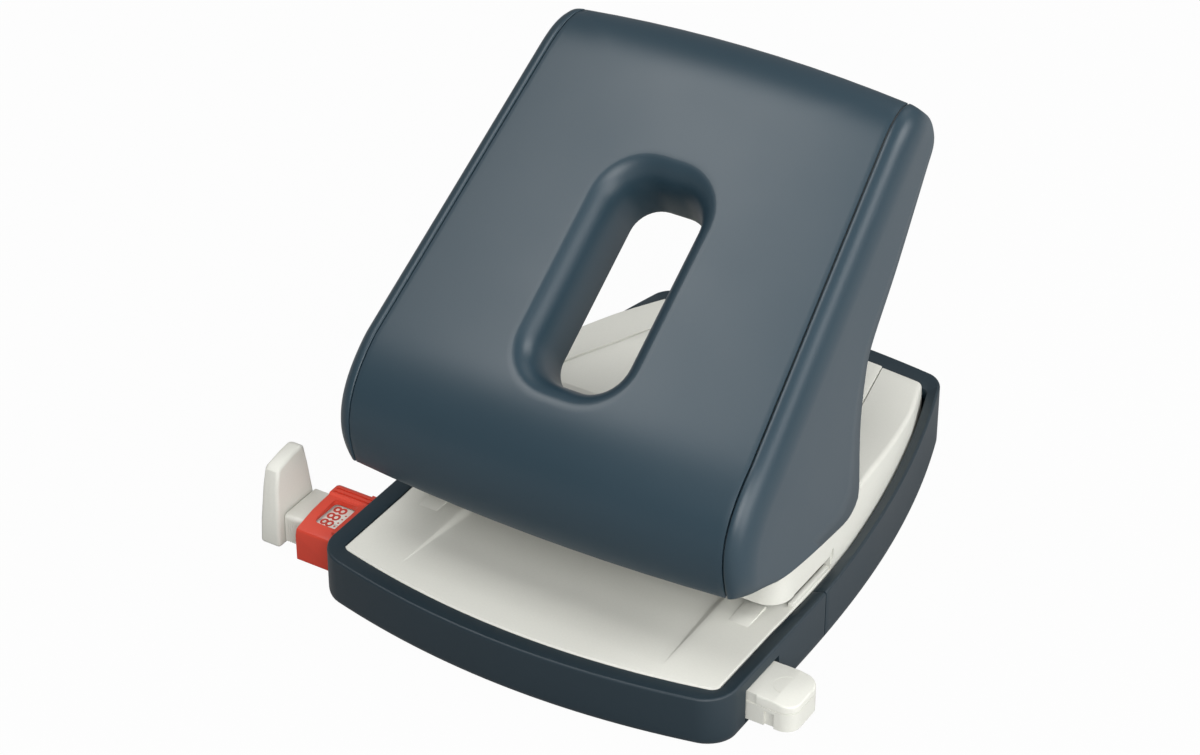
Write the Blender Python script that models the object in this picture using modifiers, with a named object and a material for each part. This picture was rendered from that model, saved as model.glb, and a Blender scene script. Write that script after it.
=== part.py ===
"""Desk punch for two holes, with a lever hood, a sliding paper guide and a drawer for the chips.

Metres, +Z up, the front towards -Y. The origin is on the table, under the middle of the guide bar's
axis, on the machine's plane of symmetry. The sheets go in from the front, along +Y.
"""

from math import cos, hypot, pi, radians, sin, tau

import bmesh
import bpy
from mathutils import Matrix, Vector

# Fits
GAP = 0.0003
OVERRUN = 0.0020
WELD = 0.000001

# Base: outline seen from above
BASE_MARGIN = 0.0116
FRONT_Y = -0.0238
FRONT_BOW = 0.0070
FRONT_CORNER = 0.0062
FRONT_CORNER_SHARE = 0.78
REAR_Y = 0.1123
REAR_BOW = 0.0026
REAR_CORNER = 0.0032
REAR_CORNER_SHARE = 0.40
TAPER_START_Y = 0.0150
REAR_TAPER = 0.0150
TAPER_POWER = 2.35

# Base: heights and walls
FLOOR_Z = 0.0008
FLOOR_THICKNESS = 0.0012
FOOT_DRAFT = 0.0016
FOOT_SIDE_SHARE = 0.3
RIM_FRONT_Z = 0.0135
RIM_RISE = 0.0045
RIM_POWER = 1.15
RIM_EDGE = 0.0006
RIM_SLOPE = 0.0009
LIP_DEPTH = 0.0035
WALL = 0.0020
SPLIT_Y = 0.0280
RIM_SIDE_FRONT = 0.0038
RIM_SIDE_REAR = 0.0029
RIM_SIDE_CHANGE = 0.0350
RIM_FRONT = 0.0054
RIM_REAR = 0.0050

# Paper table and slot
TABLE_Z = 0.0125
TABLE_THICKNESS = 0.0017
TABLE_BEVEL = 0.0005
SLOT_END_Y = 0.0370
SLOT_HEIGHT = 0.0035
DIP_INSET = 0.0065
DIP_START_Y = -0.0103
DIP_END_Y = 0.0125
DIP_DEPTH = 0.0009
RAMP_END_Y = 0.0175
RAMP_WIDTH = 0.0050
RAMP_LENGTH = 0.0080
RAMP_HEIGHT = 0.0005

# Punching places
HOLE_SPACING = 0.0800
PIN_Y = 0.0250
PIN_RADIUS = 0.0028
RUNNING = 0.0001
DIE_RADIUS = 0.0050
DIE_FLANGE = 0.0064
DIE_FLANGE_HEIGHT = 0.0010
DIE_STAND = 0.0004

# Base plate
PLATE_THICKNESS = 0.0015
PLATE_FRONT_Y = 0.0078
PLATE_REAR_Y = 0.0980
PLATE_INSET = 0.0050

# Chip drawer
TONGUE_INSET = 0.0076
TONGUE_FRONT_Y = 0.0170
DRAWER_WALL = 0.0015
DRAWER_WALL_TOP_Z = 0.0070
RAIL_INSET = 0.0125
RAIL_THICKNESS = 0.0012
RAIL_START_Y = 0.0330
RAIL_END_Y = 0.0980

# Screws, posts and rubber
SCREW_RADIUS = 0.0015
SCREW_HEAD_RADIUS = 0.0028
SCREW_HEAD_HEIGHT = 0.0013
POST_RADIUS = 0.0042
FRONT_POST_INSET = 0.0216
FRONT_POST_Y = -0.0114
REAR_POST_INSET = 0.0156
TABLE_BOSS_DEPTH = 0.0030
COVER_SCREW_INSET = 0.0134
COVER_SCREW_Y = 0.0700
COVER_BOSS_RADIUS = 0.0036
FRAME_SCREW_INSET = 0.0060
FRAME_SCREW_Y = 0.0440
PAD_INSET = 0.0136
PAD_WIDTH = 0.0100
PAD_THICKNESS = 0.0010
FOOT_RADIUS = 0.0060
FOOT_INSET = 0.0276
FOOT_Y = 0.0880

# Punch frame
SHEET = 0.0020
FRAME_CLEARANCE = 0.0026
FRAME_FRONT_Y = 0.0168
FRAME_FOOT_LENGTH = 0.0090
EAR_INSET = 0.0090
EAR_NECK_REACH = 0.0125
EAR_NECK_DROP = 0.0080
BUSH_RADIUS = 0.0043
BUSH_NECK_RADIUS = 0.0036
BUSH_TOP_Z = 0.0245
COLLAR_RADIUS = 0.0050
COLLAR_HEIGHT = 0.0012

# Pins, their springs and the axle
PIN_HEAD_RADIUS = 0.0046
PIN_HEAD_HEIGHT = 0.0025
PIN_CROWN = 0.0006
SPRING_RADIUS = 0.0043
SPRING_WIRE = 0.00035
SPRING_TURNS = 4.5
PIVOT_Y = 0.0090
PIVOT_Z = 0.0335
AXLE_RADIUS = 0.0025
AXLE_END = 0.0047
CLIP_THICKNESS = 0.0008
CLIP_WIDTH = 0.0019
CLIP_MOUTH_SHARE = 0.16

# Mechanism cover
COVER_FRONT_Y = 0.0140
COVER_CORNER = 0.0055
COVER_REAR_CORNER = 0.0018
COVER_REAR_CORNER_SHARE = 0.45
COVER_WALL = 0.0018
COVER_DRAFT = 0.0004
COVER_EDGE = 0.0010
COVER_TOP_Z = 0.0255
HUMP_REAR_Z = 0.0185
HUMP_REAR_Y = 0.1055
HUMP_SLOPE_SHARE = 0.145
WELL_MARGIN = 0.0010
WELL_FRONT_Y = 0.0164
WELL_REAR_Y = 0.0400
WELL_Z = 0.0200

# Centre panel
PANEL_REAR_INSET = 0.0275
PANEL_FLARE_SHARE = 0.26
PANEL_FRONT_Y = 0.0520
PANEL_THICKNESS = 0.0016
PANEL_DIP = 0.0048
PANEL_DIP_EDGE_SHARE = 0.35
PANEL_DIP_START_Y = 0.0780
PANEL_DIP_END_Y = 0.0850

# Lever: side profile, as shares of its depth and its rise
LEVER_FRONT_Y = -0.0103
LEVER_DEPTH = 0.0880
LEVER_FOOT_Z = 0.0332
LEVER_RISE = 0.0755
FRONT_ROLL_SHARES = ((0.031, 0.0), (-0.012, 0.151), (-0.004, 0.264), (0.157, 0.391))
TOP_ROLL_SHARES = ((0.844, 0.942), (0.9125, 0.996), (0.958, 1.003), (0.998, 0.983))
LEVER_FOOT_INSET = 0.0051
LEVER_TOP_INSET = 0.0112
KNEE_SHARE = 0.26
PLATE_SIDE_SHARES = (0.33, 0.72)
PLATE_PLACES = (8, 5, 8)
PLATE_RINGS = 9
LEVER_SKIN = 0.0018
LEVER_CROWN = 0.0020
CHEEK_BULGE = 0.0047
CHEEK_END_BULGE_SHARE = 0.20
CHEEK_FOOT_SHARE = 0.08
CHEEK_TOP_SHARE = 0.09
CHEEK_ROLL = 0.0120
CHEEK_EDGE_SHARES = (
    (0.145, -0.030), (0.230, -0.048), (0.325, -0.064), (0.440, -0.076), (0.545, -0.081), (0.592, -0.058),
    (0.606, -0.020), (0.610, 0.073), (0.620, 0.204), (0.645, 0.319), (0.682, 0.409), (0.818, 0.570),
    (0.985, 0.790), (1.030, 0.850), (1.038, 0.895), (1.032, 0.932), (1.012, 0.962))

# Lever: dished hole, measured along the plate from its lower end
DISH_CENTRE_SHARE = 0.495
HOLE_HALF_WIDTH = 0.0094
HOLE_HALF_LENGTH = 0.0233
HOLE_CORNER = 0.0068
DISH_HALF_WIDTH = 0.0144
DISH_HALF_LENGTH = 0.0293
DISH_CORNER = 0.0120
DISH_DEPTH = 0.0150
DISH_PROFILE_SHARES = (
    (1.00, 0.0), (0.72, 0.033), (0.47, 0.107), (0.27, 0.227), (0.15, 0.367), (0.08, 0.533), (0.02, 0.760),
    (0.0, 1.0))

# Lever frame and press bar
ARM_HUB = 0.0055
ARM_BOSS = 0.0050
ARM_LOW_SHARE = 0.04
ARM_TOP_SHARE = 0.42
WEB_LOW_SHARE = 0.06
WEB_HIGH_SHARE = 0.20
WEB_THICKNESS = 0.0016
PRESS_ARM = 0.0160
PRESS_RISE = 0.0040
PRESS_BAR_RADIUS = 0.0030
PRESS_BAR_END = 0.0040

# Guide bar, its stop and its window
BAR_WIDTH = 0.0124
BAR_BOTTOM_Z = 0.0024
BAR_HEIGHT = 0.0072
BAR_EDGE = 0.0009
BAR_LEFT_REACH = 0.0054
BAR_RIGHT_INSET = 0.0016
BLOCK_LENGTH = 0.0125
BLOCK_CORNER = 0.0034
SPIGOT_LENGTH = 0.0050
SPIGOT_WIDTH = 0.0070
SPIGOT_HEIGHT = 0.0032
STOP_THICKNESS = 0.0055
STOP_TOP_THICKNESS = 0.0038
STOP_LOW_Z = 0.0012
STOP_HEIGHT = 0.0219
STOP_WIDTH = 0.0148
STOP_MIDDLE_Y = -0.0009
WINDOW_LENGTH = 0.0112
WINDOW_WIDTH = 0.0184
WINDOW_LOW_Z = 0.0006
WINDOW_SIDE_Z = 0.0098
WINDOW_CROWN = 0.0020
WINDOW_SIGHT_LENGTH = 0.0066
WINDOW_SIGHT_WIDTH = 0.0072
WINDOW_SIGHT_Y = -0.0028
COLLAR_SIDE = 0.0016
STRIP_WIDTH = 0.0066
STRIP_THICKNESS = 0.0005
STRIP_LEFT_INSET = 0.0065
STRIP_RIGHT_INSET = 0.0220
LEAF_THICKNESS = 0.0004
LEAF_BOW = 0.0006
LEAF_END = 0.0025
LEAF_LOW_Z = 0.0035
LEAF_HEIGHT = 0.0045

# Finishes: linear colour, roughness, metallic
DARK_PLASTIC = ((0.036, 0.052, 0.065), 0.45, 0.0)
DARK_PAINT = ((0.060, 0.084, 0.102), 0.40, 0.2)
LIGHT_PLASTIC = ((0.62, 0.62, 0.57), 0.50, 0.0)
RED_PLASTIC = ((0.52, 0.055, 0.030), 0.42, 0.0)
STEEL = ((0.55, 0.56, 0.58), 0.35, 1.0)
SPRING_STEEL = ((0.40, 0.41, 0.43), 0.30, 1.0)
RUBBER = ((0.020, 0.020, 0.022), 0.85, 0.0)

# Widths that follow from the spacing of the holes
BASE_HALF_WIDTH = HOLE_SPACING / 2 + BASE_MARGIN
DIP_HALF_WIDTH = HOLE_SPACING / 2 - DIP_INSET
TONGUE_HALF_WIDTH = BASE_HALF_WIDTH - TONGUE_INSET
RAIL_X = TONGUE_HALF_WIDTH - RAIL_INSET
FRONT_POST_X = BASE_HALF_WIDTH - FRONT_POST_INSET
REAR_POST_X = BASE_HALF_WIDTH - REAR_POST_INSET
COVER_SCREW_X = BASE_HALF_WIDTH - COVER_SCREW_INSET
PAD_HALF_LENGTH = BASE_HALF_WIDTH - PAD_INSET
FOOT_X = BASE_HALF_WIDTH - FOOT_INSET
FRAME_HALF_WIDTH = BASE_HALF_WIDTH - RIM_SIDE_FRONT - COVER_DRAFT - COVER_WALL - FRAME_CLEARANCE
EAR_X = HOLE_SPACING / 2 - EAR_INSET
ARM_INSIDE_X = EAR_X + SHEET / 2 + GAP
AXLE_HALF_LENGTH = ARM_INSIDE_X + AXLE_END
FRAME_SCREW_X = EAR_X - FRAME_SCREW_INSET
REAR_POST_Y = BAR_WIDTH / 2 + GAP + LEAF_BOW + LEAF_THICKNESS + GAP + POST_RADIUS
PRESS_BAR_HALF_LENGTH = HOLE_SPACING / 2 + PRESS_BAR_END
WELL_HALF_WIDTH = PRESS_BAR_HALF_LENGTH + WELL_MARGIN
PANEL_REAR_HALF_WIDTH = BASE_HALF_WIDTH - PANEL_REAR_INSET
LEVER_FOOT_HALF_WIDTH = BASE_HALF_WIDTH - LEVER_FOOT_INSET
LEVER_TOP_HALF_WIDTH = BASE_HALF_WIDTH - LEVER_TOP_INSET
BAR_LEFT_X = -(BASE_HALF_WIDTH + GAP + WINDOW_LENGTH + BAR_LEFT_REACH)
BAR_RIGHT_X = BASE_HALF_WIDTH - BAR_RIGHT_INSET
STRIP_LEFT_X = BAR_LEFT_X + STRIP_LEFT_INSET
STRIP_RIGHT_X = BAR_RIGHT_X - STRIP_RIGHT_INSET
LEAF_HALF_LENGTH = REAR_POST_X + LEAF_END

# Heights and places that follow from the sizes above
FLOOR_TOP_Z = FLOOR_Z + FLOOR_THICKNESS
TABLE_LOW_Z = TABLE_Z - TABLE_THICKNESS
SLOT_TOP_Z = TABLE_Z + SLOT_HEIGHT
PLATE_TOP_Z = TABLE_LOW_Z - GAP
PLATE_LOW_Z = PLATE_TOP_Z - PLATE_THICKNESS
JAW_TOP_Z = SLOT_TOP_Z + SHEET
WEB_FRONT_Y = SLOT_END_Y + GAP
PRESS_Y = PIVOT_Y + PRESS_ARM
PRESS_Z = PIVOT_Z + PRESS_RISE
PIN_TOP_Z = PRESS_Z - PRESS_BAR_RADIUS - GAP
PIN_LOW_Z = SLOT_TOP_Z + GAP
PIN_HEAD_Z = PIN_TOP_Z - PIN_HEAD_HEIGHT
SCREW_HOLE = SCREW_RADIUS + GAP
HEAD_HOLE = SCREW_HEAD_RADIUS + GAP
BAR_TOP_Z = BAR_BOTTOM_Z + BAR_HEIGHT
BAR_MIDDLE_Z = BAR_BOTTOM_Z + BAR_HEIGHT / 2
BEHIND_Y = REAR_Y + OVERRUN
BOTH_SIDES = (-1, 1)
SIDE_NAMES = {-1: "left", 1: "right"}

# How finely outlines are drawn
FRONT_STEPS = 5
CORNER_STEPS = 5
SIDE_STEPS = 13
REAR_STEPS = 4
ROUND_SIDES = 24
SPRING_POINTS = 10
SMALL_SIDES = 14
PROFILE_STEPS = 22
ROLL_STEPS = 5
BEZIER_CIRCLE = 0.5523

# The planes in which flat outlines are drawn: local X, Y and the thickness along local Z
PLANES = {
    "XY": Matrix.Identity(4),
    "YZ": Matrix(((0, 0, 1, 0), (1, 0, 0, 0), (0, 1, 0, 0), (0, 0, 0, 1))),
    "XZ": Matrix(((1, 0, 0, 0), (0, 0, -1, 0), (0, 1, 0, 0), (0, 0, 0, 1))),
}

PARTS = None
CUTTERS = None


def start_scene():
    """Empties the scene and makes the collections for the parts and for their cutters."""
    global PARTS, CUTTERS
    for old in list(bpy.data.objects):
        bpy.data.objects.remove(old, do_unlink=True)
    PARTS = bpy.data.collections.new("two_hole_punch")
    CUTTERS = bpy.data.collections.new("cutters")
    bpy.context.scene.collection.children.link(PARTS)
    bpy.context.scene.collection.children.link(CUTTERS)


def dress(part, finish):
    """Gives a part its own material and makes its round faces smooth."""
    colour, roughness, metallic = finish
    material = bpy.data.materials.new(part.name)
    material.use_nodes = True
    shader = material.node_tree.nodes["Principled BSDF"]
    shader.inputs["Base Color"].default_value = (*colour, 1)
    shader.inputs["Roughness"].default_value = roughness
    shader.inputs["Metallic"].default_value = metallic
    part.data.materials.clear()
    part.data.materials.append(material)
    part.data.shade_smooth()
    part.data.set_sharp_from_angle(angle=radians(35))
    return part


def link_mesh(name, shape):
    """Makes an object from a bmesh, with its faces turned outwards."""
    bmesh.ops.remove_doubles(shape, verts=shape.verts, dist=WELD)
    bmesh.ops.recalc_face_normals(shape, faces=shape.faces)
    mesh = bpy.data.meshes.new(name)
    shape.to_mesh(mesh)
    shape.free()
    part = bpy.data.objects.new(name, mesh)
    PARTS.objects.link(part)
    return part


def as_mesh(curve_object):
    """Replaces a curve object by the closed mesh that it evaluates to."""
    name = curve_object.name
    bpy.context.view_layer.update()
    seen = curve_object.evaluated_get(bpy.context.evaluated_depsgraph_get())
    mesh = bpy.data.meshes.new_from_object(seen)
    place = curve_object.matrix_world.copy()
    bpy.data.objects.remove(curve_object, do_unlink=True)
    mesh.transform(place)
    shape = bmesh.new()
    shape.from_mesh(mesh)
    bpy.data.meshes.remove(mesh)
    return link_mesh(name, shape)


def flat(name, outlines, low, high, plane="XY"):
    """Extrudes closed outlines, drawn in a plane, between two places along its normal."""
    curve = bpy.data.curves.new(name, "CURVE")
    curve.dimensions = "2D"
    curve.fill_mode = "BOTH"
    curve.extrude = (high - low) / 2
    for outline in outlines:
        spline = curve.splines.new("POLY")
        spline.points.add(len(outline) - 1)
        for point, (across, up) in zip(spline.points, outline):
            point.co = (across, up, 0, 1)
        spline.use_cyclic_u = True
    drawn = bpy.data.objects.new(name, curve)
    PARTS.objects.link(drawn)
    drawn.matrix_world = PLANES[plane] @ Matrix.Translation((0, 0, (low + high) / 2))
    return as_mesh(drawn)


def box(name, low, high):
    """A box between two corners."""
    shape = bmesh.new()
    middle = (Vector(low) + Vector(high)) / 2
    size = Vector(high) - Vector(low)
    bmesh.ops.create_cube(shape, size=1, matrix=Matrix.Translation(middle) @ Matrix.Diagonal((*size, 1)))
    return link_mesh(name, shape)


def rod(name, radius, start, end, sides=ROUND_SIDES):
    """A round bar between two points."""
    shape = bmesh.new()
    line = Vector(end) - Vector(start)
    turn = line.to_track_quat("Z", "Y").to_matrix().to_4x4()
    place = Matrix.Translation((Vector(start) + Vector(end)) / 2) @ turn
    bmesh.ops.create_cone(shape, cap_ends=True, segments=sides, radius1=radius, radius2=radius,
                          depth=line.length, matrix=place)
    return link_mesh(name, shape)


def turned(name, profile, place, sides=ROUND_SIDES):
    """Turns a profile of (radius, height), from its top to its foot, about a vertical line at a place."""
    shape = bmesh.new()
    points = [shape.verts.new((radius, 0, height)) for radius, height in profile]
    for first, second in zip(points, points[1:]):
        shape.edges.new((first, second))
    if profile[0][0] > 0:
        shape.edges.new((points[-1], points[0]))
    mesh = bpy.data.meshes.new(name)
    shape.to_mesh(mesh)
    shape.free()
    part = bpy.data.objects.new(name, mesh)
    PARTS.objects.link(part)
    part.location = place
    screw = part.modifiers.new("turn", "SCREW")
    screw.steps = sides
    screw.render_steps = sides
    screw.use_merge_vertices = True
    screw.merge_threshold = WELD
    return part


def loft(name, rings, ladder_top=False):
    """Joins rings of like points; a sloping top is closed straight across from side to side."""
    shape = bmesh.new()
    rows = [[shape.verts.new(point) for point in ring] for ring in rings]
    count = len(rows[0])
    for lower, upper in zip(rows, rows[1:]):
        for here in range(count):
            after = (here + 1) % count
            shape.faces.new((lower[here], lower[after], upper[after], upper[here]))
    shape.faces.new(list(reversed(rows[0])))
    if ladder_top:
        top = rows[-1]
        first = FRONT_STEPS + 1
        shape.faces.new(top[:first + 1] + top[count - first:])
        for here in range(first, count // 2):
            corners = [top[here], top[here + 1], top[count - here - 1], top[count - here]]
            shape.faces.new(list(dict.fromkeys(corners)))
    else:
        shape.faces.new(rows[-1])
    return link_mesh(name, shape)


def sheet(name, rows, thickness, closed=False):
    """A shell over a grid of points, thickened away from its face; closed rows are rings."""
    shape = bmesh.new()
    grid = [[shape.verts.new(point) for point in row] for row in rows]
    if closed:
        grid = [row + row[:1] for row in grid]
    for first, second in zip(grid, grid[1:]):
        for here in range(len(first) - 1):
            shape.faces.new((first[here], second[here], second[here + 1], first[here + 1]))
    mesh = bpy.data.meshes.new(name)
    shape.to_mesh(mesh)
    shape.free()
    part = bpy.data.objects.new(name, mesh)
    PARTS.objects.link(part)
    thicken(part, thickness)
    return part


def shell(name, outer, inner):
    """A closed wall between two like grids of points."""
    shape = bmesh.new()
    near = [[shape.verts.new(point) for point in row] for row in outer]
    far = [[shape.verts.new(point) for point in row] for row in inner]
    for first, second in zip(near, near[1:]):
        for here in range(len(first) - 1):
            shape.faces.new((first[here], first[here + 1], second[here + 1], second[here]))
    for first, second in zip(far, far[1:]):
        for here in range(len(first) - 1):
            shape.faces.new((first[here], second[here], second[here + 1], first[here + 1]))
    for here in range(len(near) - 1):
        for end in (0, -1):
            shape.faces.new((near[here][end], near[here + 1][end], far[here + 1][end], far[here][end]))
    for here in range(len(near[0]) - 1):
        for end in (0, -1):
            shape.faces.new((near[end][here], near[end][here + 1], far[end][here + 1], far[end][here]))
    return link_mesh(name, shape)


def thicken(part, thickness):
    """Gives an open surface its wall, on the side away from its faces, and keeps the result."""
    solidify = part.modifiers.new("wall", "SOLIDIFY")
    solidify.thickness = thickness
    solidify.offset = -1
    solidify.use_even_offset = True
    keep_modifiers(part)


def keep_modifiers(part):
    """Makes what the modifiers do part of the mesh."""
    bpy.context.view_layer.update()
    seen = part.evaluated_get(bpy.context.evaluated_depsgraph_get())
    mesh = bpy.data.meshes.new_from_object(seen)
    part.modifiers.clear()
    part.data = mesh


def combine(part, others, operation):
    """Joins others to a part, or cuts them out of it, one after the other."""
    for other in others:
        PARTS.objects.unlink(other)
        CUTTERS.objects.link(other)
        other.hide_render = True
        other.display_type = "WIRE"
        boolean = part.modifiers.new(other.name, "BOOLEAN")
        boolean.operation = operation
        boolean.solver = "EXACT"
        boolean.object = other
    keep_modifiers(part)
    return part


def join(part, *others):
    """Makes one body of a part and others that overlap it."""
    return combine(part, others, "UNION")


def cut(part, *others):
    """Cuts others out of a part."""
    return combine(part, others, "DIFFERENCE")


def carry(parts, name, place):
    """Hangs moving parts on an empty at their joint's axis."""
    axis = bpy.data.objects.new(name, None)
    PARTS.objects.link(axis)
    axis.location = place
    bpy.context.view_layer.update()
    for part in parts:
        part.parent = axis
        part.matrix_parent_inverse = axis.matrix_world.inverted()


def blend(low, high, share):
    """A value between two others."""
    return low + (high - low) * share


def bezier(points, share):
    """A point on a cubic curve."""
    rest = 1 - share
    weights = (rest ** 3, 3 * rest ** 2 * share, 3 * rest * share ** 2, share ** 3)
    return tuple(sum(weight * point[axis] for weight, point in zip(weights, points)) for axis in (0, 1))


def arc(middle, radius, start, end, steps):
    """Points on an arc, with its angles in turns."""
    turns = [blend(start, end, step / steps) for step in range(steps + 1)]
    return [(middle[0] + radius * cos(tau * turn), middle[1] + radius * sin(tau * turn)) for turn in turns]


def corner_points(before, corner, after):
    """Points that round a corner between two places."""
    inner = [blend(before[axis], corner[axis], BEZIER_CIRCLE) for axis in (0, 1)]
    outer = [blend(after[axis], corner[axis], BEZIER_CIRCLE) for axis in (0, 1)]
    points = (before, inner, outer, after)
    return [bezier(points, step / CORNER_STEPS) for step in range(1, CORNER_STEPS)]


def plan_outline(half_width, front, rear, front_corner, rear_corner):
    """A symmetric outline, from the middle of its front round to the right and back.

    half_width gives X from Y; front and rear give Y from X.
    """
    front_x = half_width(front(0))
    front_x = half_width(front(front_x))
    rear_x = half_width(rear(0))
    rear_x = half_width(rear(rear_x))
    front_end = front_x - front_corner
    rear_end = rear_x - rear_corner
    side_start = front(front_x) + front_corner
    side_end = rear(rear_x) - rear_corner
    right = [(blend(0, front_end, step / FRONT_STEPS), 0) for step in range(FRONT_STEPS + 1)]
    right = [(across, front(across)) for across, _ in right]
    right += corner_points(right[-1], (front_x, front(front_x)), (half_width(side_start), side_start))
    along = [blend(side_start, side_end, step / SIDE_STEPS) for step in range(SIDE_STEPS + 1)]
    side = [(half_width(depth), depth) for depth in along]
    back = [(blend(rear_end, 0, step / REAR_STEPS), 0) for step in range(REAR_STEPS + 1)]
    back = [(across, rear(across)) for across, _ in back]
    right += side
    right += corner_points(side[-1], (rear_x, rear(rear_x)), back[0])
    right += back
    left = [(-across, depth) for across, depth in reversed(right[1:-1])]
    return right + left


def base_half_width(depth):
    """Half the base's width at a place along Y."""
    share = (depth - TAPER_START_Y) / (REAR_Y - TAPER_START_Y)
    return BASE_HALF_WIDTH - REAR_TAPER * max(0, share) ** TAPER_POWER


def base_front(across):
    """Where the base's front edge is at a place along X."""
    return FRONT_Y + FRONT_BOW * (across / BASE_HALF_WIDTH) ** 2


def base_rear(across):
    """Where the base's rear edge is at a place along X."""
    return REAR_Y - REAR_BOW * (across / (BASE_HALF_WIDTH - REAR_TAPER)) ** 2


def rim_height(depth):
    """The height of the rim's outer edge, which rises behind the split."""
    share = max(0, (depth - SPLIT_Y) / (REAR_Y - SPLIT_Y))
    return RIM_FRONT_Z + RIM_RISE * share ** RIM_POWER


def rim_side(depth):
    """The width of the rim's top along the sides."""
    share = min(1, max(0, (depth - SPLIT_Y) / RIM_SIDE_CHANGE + 0.5))
    return blend(RIM_SIDE_FRONT, RIM_SIDE_REAR, share)


def base_outline(side, front, rear):
    """The base's outline drawn in by an amount at its sides, front and rear; side may follow Y."""
    inset = side if callable(side) else lambda depth: side
    return plan_outline(
        lambda depth: base_half_width(depth) - inset(depth),
        lambda across: base_front(across) + front,
        lambda across: base_rear(across) - rear,
        FRONT_CORNER - front * FRONT_CORNER_SHARE, REAR_CORNER - rear * REAR_CORNER_SHARE)


def lifted(outline, height):
    """An outline's points at a height, which may follow Y."""
    level = height if callable(height) else lambda depth: height
    return [(across, depth, level(depth)) for across, depth in outline]


def base_pan(name):
    """The whole open pan of the base, before it is split in two."""
    edge = base_outline(0, 0, 0)
    lip = base_outline(rim_side, RIM_FRONT, RIM_REAR)
    wall = base_outline(WALL, WALL, WALL)
    side = FOOT_DRAFT * FOOT_SIDE_SHARE
    foot = base_outline(side, FOOT_DRAFT, side)
    heel = base_outline(side / 4, FOOT_DRAFT / 4, side / 4)
    bevel = base_outline(RIM_EDGE, RIM_EDGE, RIM_EDGE)
    return loft(name, [
        lifted(foot, FLOOR_Z),
        lifted(heel, FLOOR_Z + FOOT_DRAFT * 0.6),
        lifted(edge, FLOOR_Z + FOOT_DRAFT * 1.6),
        lifted(edge, lambda depth: rim_height(depth) - RIM_EDGE),
        lifted(bevel, rim_height),
        lifted(lip, lambda depth: rim_height(depth) - RIM_SLOPE),
        lifted(lip, lambda depth: rim_height(depth) - LIP_DEPTH),
        lifted(wall, lambda depth: rim_height(depth) - LIP_DEPTH - WALL / 2),
        lifted(wall, FLOOR_TOP_Z),
    ])


def post_places():
    """Where the four base screws go, and how high each post stands."""
    front_top = TABLE_LOW_Z - TABLE_BOSS_DEPTH - GAP
    rear_top = PLATE_LOW_Z - GAP
    places = [(side * FRONT_POST_X, FRONT_POST_Y, front_top) for side in BOTH_SIDES]
    return places + [(side * REAR_POST_X, REAR_POST_Y, rear_top) for side in BOTH_SIDES]


def hole(place, radius, low, high, name="hole"):
    """A vertical round cutter."""
    return rod(name, radius, (place[0], place[1], low), (place[0], place[1], high), SMALL_SIDES)


def front_shell():
    """The front of the base, with its posts and the openings for the guide bar."""
    wide = BASE_HALF_WIDTH + OVERRUN
    shell = base_pan("front_shell")
    behind = box("behind_split", (-wide, SPLIT_Y - GAP / 2, -OVERRUN), (wide, BEHIND_Y, RIM_FRONT_Z * 2))
    notch = box("tongue_notch", (-TONGUE_HALF_WIDTH - GAP, TONGUE_FRONT_Y - GAP, -OVERRUN),
                (TONGUE_HALF_WIDTH + GAP, BEHIND_Y, FLOOR_TOP_Z + OVERRUN))
    cut(shell, behind, notch)
    foot = FLOOR_Z + FLOOR_THICKNESS / 2
    places = post_places()
    join(shell, *[rod("post", POST_RADIUS, (across, depth, foot), (across, depth, top))
                  for across, depth, top in places])
    holes = [hole(place, SCREW_HOLE, -OVERRUN, place[2] + OVERRUN) for place in places]
    holes += [hole(place, HEAD_HOLE, -OVERRUN, FLOOR_Z + SCREW_HEAD_HEIGHT + GAP * 2) for place in places]
    side_in = BASE_HALF_WIDTH - WALL - OVERRUN
    bar_half = BAR_WIDTH / 2 + GAP * 2
    collar_half = BAR_WIDTH / 2 + GAP * 2 + COLLAR_SIDE
    right_way = box("bar_way", (side_in, -bar_half, FLOOR_TOP_Z), (wide, bar_half, BAR_TOP_Z + GAP * 2))
    left_way = box("collar_way", (-wide, -collar_half, FLOOR_TOP_Z),
                   (-side_in, collar_half, BAR_TOP_Z + COLLAR_SIDE + GAP * 2))
    seat = box("pad_seat", (-PAD_HALF_LENGTH - GAP, -PAD_WIDTH / 2 - GAP, -OVERRUN),
               (PAD_HALF_LENGTH + GAP, PAD_WIDTH / 2 + GAP, PAD_THICKNESS + GAP))
    cut(shell, *holes, right_way, left_way, seat)
    return dress(shell, DARK_PLASTIC)


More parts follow.
